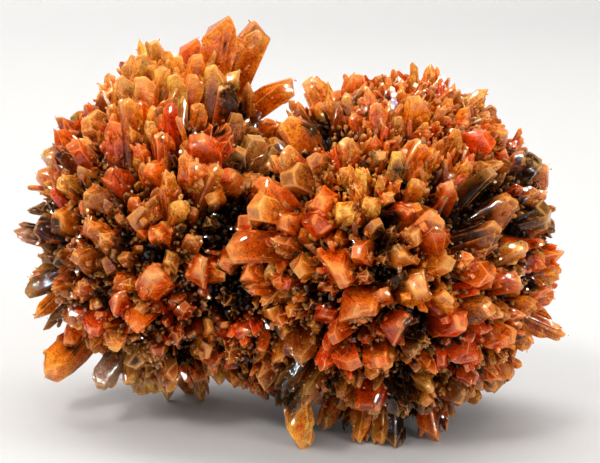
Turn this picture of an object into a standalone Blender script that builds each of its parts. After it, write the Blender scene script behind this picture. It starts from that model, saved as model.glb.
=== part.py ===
"""Creedite cluster: two grown-together balls of orange, spear- and block-shaped crystals.

Metres, +Z up. +X is to the right and +Y away from a viewer who stands in front of the specimen.
The tip of every crystal that the front shows is given in the viewer's own plane, and the sight line
through that tip is followed until it meets the lobe that the crystal grew on.
"""

import math
import random

import bmesh
import bpy
from mathutils import Matrix, Vector
from mathutils.kdtree import KDTree

MM = 0.001

# The viewer: distance to the specimen, how far the look is tilted down, height of the point looked at
VIEW_DISTANCE = 333 * MM
VIEW_TILT = math.radians(12)
VIEW_HEIGHT = 39 * MM

# The two lobes and the neck in which they have grown into each other, below the notch between them:
# the centre of each, how far its crystal tips reach, and the share of that which is its solid heart
LEFT_LOBE = (Vector((-26.0, 8.0, 38.6)) * MM, Vector((28.5, 28.5, 33.5)) * MM)
RIGHT_LOBE = (Vector((18.8, -1.0, 35.0)) * MM, Vector((33.5, 31.0, 36.0)) * MM)
NECK = (Vector((-5.0, 4.0, 31.0)) * MM, Vector((17.0, 27.0, 28.0)) * MM)
HEART_SHARE = 0.82

# Moves the finished cluster so that its outline box is centred over the origin
CENTRING_SHIFT = Vector((2.6, -1.0, 0.0)) * MM

# Crystals: how deep they root in the heart, and the smaller ones that fill the gaps between the big ones
ROOT_SHARE = 0.55
FILL_TRIES = 400
FILL_SPACING = 1.15
FILL_WIDTHS = [(7.0 * MM, 9.5 * MM), (4.2 * MM, 5.4 * MM)]
FILL_REACHES = (0.96, 1.07)
FILL_HABITS = ["spear", "block", "chisel", "block", "spear", "blade"]
SUNK_REACH = 0.95
RIM_DEPTH = 8 * MM
GROWTH_SEED = 42

# Each row is one crystal of the left lobe: where its tip is seen, in millimetres right of and above the
# middle of the view, its reach, its width in millimetres, its turn about its own axis in degrees, its
# habit, and where it needs it, how far its root is seen beside the straight line to the lobe's centre
LEFT_CRYSTALS = [
    # crown of thin pale tips
    (-28.4, 38.5, 1.0, 4.0, 10, "block"),
    (-34.6, 34.5, 1.0, 3.0, 20, "spear"),
    (-24.2, 34.7, 1.0, 3.4, 40, "block"),
    (-43.0, 25.7, 1.0, 3.4, 0, "spear"),
    (-43.2, 23.0, 1.0, 5.2, 20, "chisel"),
    (-37.6, 22.6, 1.06, 3.8, 0, "blade"),
    # the big blades that stand up at the top
    (-8.8, 42.9, 1.0, 7.4, 0, "blade"),
    (-14.0, 43.5, 1.0, 7.6, 0, "blade"),
    (-20.4, 39.0, 1.0, 6.0, 10, "blade"),
    (-17.0, 36.9, 1.04, 3.6, 30, "spear"),
    (-15.0, 35.6, 1.04, 3.2, 0, "spear"),
    (-18.4, 34.7, 1.0, 3.2, 45, "block"),
    (-16.0, 32.3, 1.0, 3.8, 20, "block"),
    (-10.2, 30.1, 1.0, 2.8, 10, "spear"),
    (-8.0, 28.1, 1.0, 2.8, 50, "spear"),
    (-1.0, 30.9, 1.0, 5.8, 0, "blade"),
    # upper middle
    (-24.6, 28.7, 1.02, 4.2, 10, "spear"),
    (-20.0, 26.3, 1.0, 3.8, 30, "block"),
    (-17.0, 30.3, 1.0, 5.2, 0, "chisel"),
    (-12.0, 23.7, 1.0, 4.0, 20, "block"),
    (-14.4, 21.9, 1.0, 3.8, 60, "spear"),
    (-19.0, 20.3, 1.08, 6.6, 15, "block"),
    (-13.0, 19.7, 1.04, 4.0, 0, "spear"),
    (-7.6, 19.3, 1.04, 6.6, 30, "block"),
    (-10.4, 16.3, 1.0, 4.6, 10, "block"),
    (-32.4, 17.9, 1.04, 3.8, 10, "spear"),
    (-30.6, 14.1, 1.0, 4.4, 40, "block"),
    (-27.0, 12.7, 1.05, 4.2, 0, "spear"),
    # left side
    (-52.0, 15.9, 1.0, 5.4, 10, "chisel"),
    (-53.0, 11.5, 1.0, 5.6, 30, "chisel"),
    (-52.4, 8.1, 1.0, 2.8, 0, "spear"),
    (-54.8, 4.3, 1.0, 3.2, 20, "spear"),
    (-57.6, 0.3, 1.0, 4.0, 0, "spear"),
    (-54.0, -2.1, 1.0, 3.4, 40, "spear"),
    (-49.8, 4.1, 1.02, 6.6, 20, "block"),
    (-43.6, 8.3, 1.04, 4.8, 10, "block"),
    (-38.8, 13.3, 1.02, 5.4, 30, "block"),
    (-42.6, 2.7, 1.04, 4.0, 0, "spear"),
    (-40.0, -0.3, 1.06, 3.8, 15, "spear"),
    (-32.0, 5.7, 1.0, 7.6, 25, "block"),
    (-28.4, 0.7, 1.04, 4.4, 10, "block"),
    # towards the valley between the lobes
    (-12.0, 12.3, 1.0, 5.0, 0, "block"),
    (-17.0, 8.1, 1.0, 4.4, 30, "block"),
    (-19.6, 10.9, 1.0, 4.0, 0, "chisel"),
    (-23.4, 6.5, 1.04, 3.8, 50, "block"),
    (-10.0, 1.9, 1.04, 4.8, 0, "chisel"),
    # lower left side
    (-52.8, -4.9, 1.0, 2.8, 20, "spear"),
    (-53.0, -7.7, 1.0, 2.8, 0, "spear"),
    (-49.4, -5.7, 1.0, 4.0, 30, "chisel"),
    (-45.6, -3.7, 1.02, 4.2, 0, "block"),
    (-54.4, -9.3, 1.0, 4.2, 20, "spear"),
    (-50.0, -11.7, 1.02, 4.6, 0, "spear"),
    (-55.2, -12.3, 1.0, 3.8, 30, "block"),
    (-53.4, -17.7, 1.0, 3.8, 0, "spear"),
    (-51.6, -19.9, 1.0, 3.0, 20, "spear"),
    (-47.6, -22.7, 1.04, 4.4, 10, "block"),
    (-42.4, -20.9, 1.06, 4.4, 30, "block"),
    (-51.2, -29.6, 1.0, 6.8, 10, "block"),
    (-41.0, -31.5, 1.0, 4.6, 0, "block"),
    # facing the viewer, below the middle
    (-30.0, -10.3, 1.1, 6.6, 45, "block"),
    (-19.0, -9.1, 1.08, 6.0, 20, "block"),
    (-36.8, -14.3, 1.04, 4.6, 30, "block"),
    (-34.4, -19.1, 1.08, 4.8, 10, "block"),
    (-38.6, -23.7, 1.04, 4.2, 0, "block"),
    (-23.4, -16.3, 1.02, 4.0, 45, "block"),
    (-24.4, -22.3, 1.08, 4.6, 0, "spear"),
    (-11.6, -21.7, 1.06, 7.6, 20, "block"),
    (-10.4, -27.7, 1.04, 4.8, 0, "spear"),
    (-6.8, -23.3, 1.04, 4.2, 30, "block"),
    (-29.6, -24.9, 1.0, 4.4, 10, "block"),
    # underside
    (-35.6, -30.5, 1.0, 3.0, 0, "spear"),
    (-32.2, -32.9, 1.0, 3.2, 30, "spear"),
    (-29.4, -32.7, 1.0, 3.2, 0, "spear"),
    (-25.0, -30.3, 1.06, 3.8, 20, "spear"),
    (-12.0, -31.5, 1.0, 3.4, 20, "spear"),
    (-7.0, -32.1, 1.0, 3.2, 0, "spear"),
]

# The same for the right lobe
RIGHT_CRYSTALS = [
    # pale blades and spikes along the top
    (2.0, 31.3, 1.0, 4.8, 10, "block"),
    (9.0, 28.1, 1.0, 2.8, 30, "spear"),
    (10.6, 31.9, 1.0, 4.6, 0, "blade"),
    (13.4, 29.3, 1.04, 3.0, 20, "spear"),
    (26.2, 33.9, 1.0, 3.2, 0, "spear"),
    # between the top and the middle
    (9.2, 19.5, 1.04, 4.0, 30, "block"),
    (-3.8, 16.3, 1.14, 4.0, 0, "blade"),
    (-3.0, 12.3, 1.06, 5.4, 20, "chisel"),
    (3.2, 16.3, 1.04, 4.8, 10, "block"),
    # upper right
    (38.0, 28.7, 1.0, 3.4, 0, "spear"),
    (39.4, 24.7, 1.0, 3.4, 20, "block"),
    (42.0, 20.1, 1.0, 4.6, 10, "block"),
    (37.6, 20.5, 1.06, 6.0, 0, "blade"),
    (49.0, 13.3, 1.0, 7.2, 20, "block"),
    (44.2, 6.3, 1.04, 6.6, 30, "block"),
    (48.6, 8.1, 1.0, 3.2, 0, "spear"),
    (50.4, 3.5, 1.0, 5.6, 10, "chisel"),
    (40.8, 0.7, 1.04, 4.6, 30, "block"),
    (53.2, -4.1, 1.0, 4.6, 0, "spear"),
    (52.0, -8.7, 1.0, 3.4, 20, "block"),
    (51.0, -11.7, 1.0, 5.0, 0, "spear"),
    (53.6, -20.9, 1.0, 4.6, 10, "spear"),
    # crystals that point left over the valley
    (-7.8, 10.7, 1.1, 5.4, 20, "block"),
    (-9.8, 5.3, 1.14, 5.4, 0, "chisel"),
    (-4.0, 3.3, 1.06, 4.6, 30, "block"),
    (-5.4, -1.7, 1.08, 4.2, 0, "spear"),
    (-15.6, -2.7, 1.2, 6.8, 10, "block"),
    (-12.0, -10.9, 1.14, 4.2, 20, "spear"),
    (-1.6, -7.7, 1.04, 4.4, 30, "block"),
    # middle, facing the viewer
    (1.6, 1.9, 1.06, 6.4, 45, "block"),
    (3.4, 7.7, 1.06, 5.2, 10, "block"),
    (10.0, 5.1, 1.04, 5.0, 30, "block"),
    (14.8, 6.5, 1.04, 3.8, 0, "block"),
    (22.8, 4.5, 1.04, 4.0, 45, "block"),
    (23.6, -0.1, 1.04, 4.0, 0, "chisel"),
    (29.6, 2.3, 1.1, 7.4, 15, "block"),
    (21.8, -4.7, 1.06, 4.8, 20, "block"),
    (10.4, -2.7, 1.04, 4.8, 30, "block"),
    (5.4, -7.5, 1.08, 7.6, 10, "block"),
    (26.0, -12.1, 1.12, 6.6, 30, "block"),
    (30.2, -8.1, 1.06, 4.8, 0, "block"),
    (31.2, -13.7, 1.06, 4.6, 45, "block"),
    (16.0, -13.1, 1.02, 3.8, 20, "block"),
    (35.0, -5.3, 1.02, 3.8, 0, "spear"),
    (39.0, -9.3, 1.02, 5.4, 10, "chisel"),
    (20.4, -9.9, 1.0, 3.8, 30, "block"),
    # lower right
    (36.0, -26.5, 1.04, 7.2, 0, "blade"),
    (33.6, -20.1, 1.06, 6.0, 20, "block"),
    (39.6, -16.3, 1.04, 5.2, 30, "block"),
    (43.2, -22.7, 1.02, 5.4, 0, "block"),
    (45.6, -16.9, 1.0, 4.0, 20, "spear"),
    (40.4, -30.1, 1.0, 4.4, 0, "spear"),
    (32.6, -35.1, 1.0, 6.8, 30, "block"),
    (35.2, -31.1, 1.0, 4.4, 0, "block"),
    # lower front
    (10.4, -18.1, 1.12, 7.8, 30, "block"),
    (5.4, -20.9, 1.04, 4.2, 0, "block"),
    (10.0, -28.1, 1.06, 5.4, 10, "block"),
    (15.4, -27.7, 1.06, 5.2, 30, "block"),
    (20.6, -20.5, 1.1, 6.0, 0, "block"),
    (23.2, -25.3, 1.04, 4.2, 20, "block"),
    (27.4, -28.9, 1.02, 3.8, 30, "spear"),
    (1.8, -31.1, 1.02, 4.2, 20, "block"),
    (0.0, -26.7, 1.06, 6.2, 10, "blade"),
    (15.6, -37.1, 1.06, 7.4, 0, "blade", -3.0, 0.0),
    (4.4, -40.1, 1.0, 3.8, 0, "spear"),
    (8.4, -39.5, 1.0, 3.2, 30, "spear"),
    (25.2, -35.3, 1.02, 4.2, 20, "block"),
]

# The crystals that the cluster stands on: lobe, tip over the floor in millimetres (right, back),
# width, turn and habit. Their tips were pressed flat where they met the ground they lay on.
FEET = [
    (RIGHT_LOBE, 0.4, -19.6, 6.6, 0, "spear"),
    (RIGHT_LOBE, 11.6, -16.4, 4.8, 20, "spear"),
    (RIGHT_LOBE, 15.8, -17.2, 4.6, 0, "spear"),
    (RIGHT_LOBE, 18.6, -18.4, 3.8, 10, "spear"),
    (RIGHT_LOBE, 27.0, -14.6, 6.6, 0, "spear"),
    (RIGHT_LOBE, 22.0, 14.0, 5.6, 30, "block"),
    (LEFT_LOBE, -28.0, 12.0, 4.2, 0, "spear"),
    (LEFT_LOBE, -20.2, 12.0, 4.4, 20, "spear"),
    (LEFT_LOBE, -24.0, 19.0, 5.2, 0, "block"),
]
FOOT_SUNK = 0.7 * MM

# Habits, as multiples of the crystal's width: thickness, width of the root end, and the planes that cut
# the free end, each with the height of its point over the shoulder and the way it faces
HABITS = {
    "spear": (0.74, 0.46, [
        (0.00, (0.75, 0.50, 0.42)),
        (-0.10, (-0.72, 0.52, 0.46)),
        (-0.06, (0.70, -0.55, 0.46)),
        (0.00, (-0.75, -0.50, 0.50)),
    ]),
    "block": (0.86, 0.52, [
        (0.00, (0.52, 0.30, 0.76)),
        (-0.04, (-0.70, 0.26, 0.62)),
        (-0.10, (0.16, -0.80, 0.56)),
    ]),
    "chisel": (0.58, 0.52, [
        (0.00, (0.62, 0.10, 0.62)),
        (-0.06, (-0.66, -0.14, 0.66)),
    ]),
    "blade": (0.40, 0.60, [
        (0.00, (0.80, 0.10, 0.42)),
        (-0.10, (-0.34, 0.30, 0.90)),
        (-0.04, (0.10, -0.86, 0.42)),
    ]),
}
PRISM_TURN = {"spear": 0, "block": 45, "chisel": 45, "blade": 45}

# Finish of the crystals: a glassy orange, sRGB
CREEDITE_COLOUR = (0.80, 0.37, 0.14)
CREEDITE_ROUGHNESS = 0.22


def clear_scene():
    for old in list(bpy.data.objects):
        bpy.data.objects.remove(old, do_unlink=True)


def to_linear(channel):
    if channel <= 0.04045:
        return channel / 12.92
    return ((channel + 0.055) / 1.055) ** 2.4


def creedite_material():
    material = bpy.data.materials.new("orange_creedite")
    material.use_nodes = True
    surface = material.node_tree.nodes["Principled BSDF"]
    colour = [to_linear(channel) for channel in CREEDITE_COLOUR]
    surface.inputs["Base Color"].default_value = (*colour, 1.0)
    surface.inputs["Roughness"].default_value = CREEDITE_ROUGHNESS
    surface.inputs["Metallic"].default_value = 0.0
    return material


def sight_line(across, up):
    """The viewer's eye and the direction in which a place in the view plane is seen."""
    target = Vector((0, 0, VIEW_HEIGHT))
    back = Vector((0, math.cos(VIEW_TILT), -math.sin(VIEW_TILT)))
    above = Vector((0, math.sin(VIEW_TILT), math.cos(VIEW_TILT)))
    eye = target - back * VIEW_DISTANCE
    seen = target + Vector((across, 0, 0)) * MM + above * up * MM
    return eye, (seen - eye).normalized()


def squashed(vector, reach):
    return Vector((vector.x / reach.x, vector.y / reach.y, vector.z / reach.z))


def tip_seen_at(across, up, lobe, stretch, chance):
    """Where the sight line first meets the lobe, or passes near it beyond its outline."""
    centre, reach = lobe
    eye, line = sight_line(across, up)
    start = squashed(eye - centre, reach)
    step = squashed(line, reach)
    nearest = -start.dot(step) / step.length_squared
    miss = (start + step * nearest).length
    depth_free = chance.uniform(-RIM_DEPTH, RIM_DEPTH)
    if miss < stretch:
        nearest -= math.sqrt(stretch * stretch - miss * miss) / step.length
    else:
        nearest += depth_free
    return eye + line * nearest


def crystal_frame(axis, turn):
    """A frame whose Z runs along the crystal, with its broad side to the viewer when the turn is 0."""
    towards_viewer = sight_line(0, 0)[1] * -1
    side = towards_viewer.cross(axis)
    if side.length < 0.25:
        side = Vector((1, 0, 0))
    side = (side - axis * side.dot(axis)).normalized()
    frame = Matrix((side, axis.cross(side), axis)).transposed()
    return frame @ Matrix.Rotation(math.radians(turn), 3, "Z")


def habit_mesh(habit):
    """One crystal of unit width with its tip near the origin and its root far below."""
    thickness, root_width, facets = HABITS[habit]
    bm = bmesh.new()
    half_length = 2.0
    bmesh.ops.create_cone(bm, cap_ends=True, segments=4, radius1=0.5 * root_width, radius2=0.5,
                          depth=2 * half_length)
    turn = Matrix.Rotation(math.radians(PRISM_TURN[habit]), 4, "Z")
    bmesh.ops.transform(bm, matrix=turn, verts=bm.verts)
    span = max(vertex.co.x for vertex in bm.verts) * 2
    bmesh.ops.scale(bm, vec=(1 / span, thickness / span, 1), verts=bm.verts)
    bmesh.ops.translate(bm, vec=(0, 0, 0.6 - half_length), verts=bm.verts)
    for height, facing in facets:
        geometry = bm.verts[:] + bm.edges[:] + bm.faces[:]
        cut = bmesh.ops.bisect_plane(bm, geom=geometry, plane_co=(0, 0, height), plane_no=facing,
                                     clear_outer=True)
        rim = [item for item in cut["geom_cut"] if isinstance(item, bmesh.types.BMEdge)]
        bmesh.ops.holes_fill(bm, edges=rim)
    bmesh.ops.recalc_face_normals(bm, faces=bm.faces)
    mesh = bpy.data.meshes.new(habit)
    bm.to_mesh(mesh)
    bm.free()
    return mesh


def add_crystal(bm, shapes, tip, root, width, turn, habit):
    """Adds one crystal from its root to its tip, as a closed prism of its own."""
    axis = (tip - root).normalized()
    length = (tip - root).length
    first = len(bm.verts)
    bm.from_mesh(shapes[habit])
    bm.verts.ensure_lookup_table()
    grown = bm.verts[first:]
    lowest = min(vertex.co.z for vertex in grown)
    for vertex in grown:
        if vertex.co.z < lowest + 0.01:
            vertex.co.z = -length / width
    place = Matrix.Translation(tip) @ crystal_frame(axis, turn).to_4x4() @ Matrix.Scale(width, 4)
    bmesh.ops.transform(bm, matrix=place, verts=grown)


def leaves_heart_at(tip, centre, reach):
    """The place where the crystal that ends at this tip comes out of its lobe's heart."""
    outward = tip - centre
    return centre + outward * (HEART_SHARE / squashed(outward, reach).length)


def grow(bm, shapes, lobe, tip, width, turn, habit, lean=()):
    """Adds the crystal that runs from the lobe's heart to this tip, and says where it leaves the heart."""
    centre, reach = lobe
    root = centre + (tip - centre) * (1 - ROOT_SHARE)
    if lean:
        root += Vector((lean[0], 0, lean[1])) * MM
    add_crystal(bm, shapes, tip, root, width, turn, habit)
    return leaves_heart_at(tip, centre, reach)


def grow_listed(bm, shapes, lobe, crystals, chance):
    taken = []
    for across, up, stretch, width, turn, habit, *lean in crystals:
        tip = tip_seen_at(across, up, lobe, stretch, chance)
        taken.append(grow(bm, shapes, lobe, tip, width * MM, turn, habit, lean))
    return taken


def grow_feet(bm, shapes):
    taken = []
    for lobe, right, back, width, turn, habit in FEET:
        tip = Vector((right, back, 0)) * MM - Vector((0, 0, FOOT_SUNK))
        taken.append(grow(bm, shapes, lobe, tip, width * MM, turn, habit))
    return taken


def even_directions(count):
    """Directions spread evenly over a ball, along one long spiral."""
    golden_turn = math.pi * (3 - math.sqrt(5))
    for step in range(count):
        height = 1 - 2 * (step + 0.5) / count
        ring = math.sqrt(1 - height * height)
        angle = golden_turn * step
        yield Vector((ring * math.cos(angle), ring * math.sin(angle), height))


def near_any(place, taken, distance):
    tree = KDTree(len(taken))
    for index, other in enumerate(taken):
        tree.insert(other, index)
    tree.balance()
    return tree.find(place)[2] < distance


def inside_any(place, lobes):
    return any(squashed(place - centre, reach).length < SUNK_REACH for centre, reach in lobes)


def grow_fill(bm, shapes, lobe, other_lobes, widths, taken, chance):
    """Covers what the crystals grown so far leave free: the back, the top, the underside and the gaps."""
    centre, reach = lobe
    for direction in even_directions(FILL_TRIES):
        width = chance.uniform(*widths)
        stretch = chance.uniform(*FILL_REACHES)
        turn = chance.uniform(0, 90)
        habit = chance.choice(FILL_HABITS)
        outward = Vector((direction.x * reach.x, direction.y * reach.y, direction.z * reach.z))
        tip = centre + outward * stretch
        tip.z = max(tip.z, width)
        place = leaves_heart_at(tip, centre, reach)
        if inside_any(tip, other_lobes) or near_any(place, taken, width * FILL_SPACING):
            continue
        taken.append(grow(bm, shapes, lobe, tip, width, turn, habit))


def add_heart(bm, centre, size):
    """The grown-together inside of a lobe, which shows only at the bottom of the gaps."""
    made = bmesh.ops.create_icosphere(bm, subdivisions=2, radius=1.0)
    place = Matrix.Translation(centre) @ Matrix.Diagonal((*size, 1))
    bmesh.ops.transform(bm, matrix=place, verts=made["verts"])


def new_object(name, bm):
    mesh = bpy.data.meshes.new(name)
    bm.to_mesh(mesh)
    bm.free()
    made = bpy.data.objects.new(name, mesh)
    bpy.context.scene.collection.objects.link(made)
    return made


def as_helper(helper):
    helper.hide_render = True
    helper.display_type = "WIRE"


def floor_cutter():
    """Everything under the floor plane, which leaves small flats on the standing tips."""
    side = 0.2
    bm = bmesh.new()
    bmesh.ops.create_cube(bm, size=side)
    bmesh.ops.translate(bm, vec=(0, 0, -side / 2), verts=bm.verts)
    cutter = new_object("floor_cutter", bm)
    as_helper(cutter)
    return cutter


def keep_largest_island(mesh):
    """Drops the closed bubbles that may be trapped between crystals, and keeps the outer skin."""
    bm = bmesh.new()
    bm.from_mesh(mesh)
    unseen = set(bm.faces)
    islands = []
    while unseen:
        island = [unseen.pop()]
        for face in island:
            for edge in face.edges:
                for neighbour in edge.link_faces:
                    if neighbour in unseen:
                        unseen.remove(neighbour)
                        island.append(neighbour)
        islands.append(island)
    islands.sort(key=len)
    spare = [face for island in islands[:-1] for face in island]
    bmesh.ops.delete(bm, geom=spare, context="FACES")
    bm.to_mesh(mesh)
    bm.free()


def build_cluster():
    chance = random.Random(GROWTH_SEED)
    shapes = {habit: habit_mesh(habit) for habit in HABITS}

    crystals = bmesh.new()
    taken = grow_listed(crystals, shapes, LEFT_LOBE, LEFT_CRYSTALS, chance)
    taken += grow_listed(crystals, shapes, RIGHT_LOBE, RIGHT_CRYSTALS, chance)
    taken += grow_feet(crystals, shapes)
    lobes = [LEFT_LOBE, RIGHT_LOBE, NECK]
    for widths in FILL_WIDTHS:
        for lobe in lobes:
            other_lobes = [other for other in lobes if other is not lobe]
            grow_fill(crystals, shapes, lobe, other_lobes, widths, taken, chance)
    grown = new_object("grown_crystals", crystals)
    as_helper(grown)

    hearts = bmesh.new()
    for centre, reach in lobes:
        add_heart(hearts, centre, reach * HEART_SHARE)
    cluster = new_object("creedite_cluster", hearts)

    union = cluster.modifiers.new("grown together", "BOOLEAN")
    union.operation = "UNION"
    union.solver = "EXACT"
    union.use_self = True
    union.object = grown
    cut = cluster.modifiers.new("standing flats", "BOOLEAN")
    cut.operation = "DIFFERENCE"
    cut.solver = "EXACT"
    cutter = floor_cutter()
    cut.object = cutter

    finished = cluster.evaluated_get(bpy.context.evaluated_depsgraph_get())
    mesh = bpy.data.meshes.new_from_object(finished)
    cluster.modifiers.clear()
    cluster.data = mesh
    keep_largest_island(mesh)
    mesh.transform(Matrix.Translation(CENTRING_SHIFT))
    mesh.shade_flat()
    mesh.materials.clear()
    mesh.materials.append(creedite_material())
    for helper in (grown, cutter):
        bpy.data.objects.remove(helper, do_unlink=True)


clear_scene()
build_cluster()
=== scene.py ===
import math
import random

import bmesh
import bpy
import numpy as np
from mathutils import Matrix, Vector, noise


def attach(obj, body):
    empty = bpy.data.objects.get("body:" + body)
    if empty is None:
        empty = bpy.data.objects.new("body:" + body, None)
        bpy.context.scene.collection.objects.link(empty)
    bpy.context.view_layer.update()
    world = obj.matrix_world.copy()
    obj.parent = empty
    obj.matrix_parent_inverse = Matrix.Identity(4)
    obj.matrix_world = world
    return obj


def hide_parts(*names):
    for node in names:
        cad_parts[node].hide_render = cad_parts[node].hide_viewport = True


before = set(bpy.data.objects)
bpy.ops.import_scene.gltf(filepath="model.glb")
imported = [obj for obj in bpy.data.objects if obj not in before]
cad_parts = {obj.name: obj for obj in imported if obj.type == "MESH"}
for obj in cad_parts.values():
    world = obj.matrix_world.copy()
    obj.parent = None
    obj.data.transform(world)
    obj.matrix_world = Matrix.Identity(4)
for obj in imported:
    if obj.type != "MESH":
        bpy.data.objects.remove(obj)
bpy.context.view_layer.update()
mm = 0.001

# where the specimen is seen from
viewer = {
    "distance": 333 * mm,
    "tilt": math.radians(12),  # down from level
    "height": 39 * mm,         # of the middle of the view
    "lens": 100,
    "sensor": 36,
    "nearest": 10 * mm,        # what is nearer doesn't show
    "rimDepth": 8 * mm,  # crystals on the outline stand this much nearer or further, at most
}

# the centre of each lobe and how far its crystal tips reach
leftLobe = (Vector((-26.0, 8.0, 38.6)) * mm, Vector((28.5, 28.5, 33.5)) * mm)
rightLobe = (Vector((18.8, -1.0, 35.0)) * mm, Vector((33.5, 31.0, 36.0)) * mm)
neck = (Vector((-5.0, 4.0, 31.0)) * mm, Vector((17.0, 27.0, 28.0)) * mm)
lobes = [leftLobe, rightLobe, neck]
heartShare = 0.82  # the solid inside of a lobe, as a share of its reach
centringShift = Vector((2.6, -1.0, 0.0)) * mm

target = Vector((0, 0, viewer["height"]))
inwards = Vector((0, math.cos(viewer["tilt"]), -math.sin(viewer["tilt"])))
above = Vector((0, math.sin(viewer["tilt"]), math.cos(viewer["tilt"])))
eye = target - inwards * viewer["distance"]


def sightLine(across, up):
    return (target + Vector((across, 0, 0)) * mm + above * up * mm - eye).normalized()


toViewer = sightLine(0, 0) * -1


# the place in the viewer's plane, in millimetres, at which each row of an array of points is seen
def seenPlaces(points):
    away = np.asarray(points) - np.array(eye)
    nearer = viewer["distance"] / (away @ -np.array(toViewer)) / mm
    return np.stack([away[:, 0] * nearer, away @ np.array(above) * nearer], axis=1)


# how near to the middle of each zone a place is seen: 1 in the middle, under 0 outside
def nearness(place, zones):
    across, up = seenPlaces([place])[0]
    return [1 - math.hypot(across - zone[0], up - zone[1]) / zone[2] for zone in zones]


def inZones(place, zones, furthest):
    return place.y < furthest and max(nearness(place, zones)) > 0


def squashed(vector, reach):
    return Vector((vector.x / reach.x, vector.y / reach.y, vector.z / reach.z))


def insideOthers(place, lobe, share):
    others = [other for other in lobes if other is not lobe]
    return any(squashed(place - centre, reach).length < share for centre, reach in others)


# where a sight line first meets the lobe, or passes near it beyond its outline
def tipSeenAt(across, up, lobe, stretch, chance):
    centre, reach = lobe
    line = sightLine(across, up)
    start = squashed(eye - centre, reach)
    step = squashed(line, reach)
    nearest = -start.dot(step) / step.length_squared
    miss = (start + step * nearest).length
    depthFree = chance.uniform(-viewer["rimDepth"], viewer["rimDepth"])
    if miss < stretch:
        nearest -= math.sqrt(stretch * stretch - miss * miss) / step.length
    else:
        nearest += depthFree
    return eye + line * nearest


def crystalFrame(axis, turn):
    side = toViewer.cross(axis)
    if side.length < 0.25:  # it points at the viewer
        side = Vector((1, 0, 0))
    side = (side - axis * side.dot(axis)).normalized()
    turned = Matrix((side, axis.cross(side), axis)).transposed()
    return turned @ Matrix.Rotation(math.radians(turn), 3, "Z")


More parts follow.
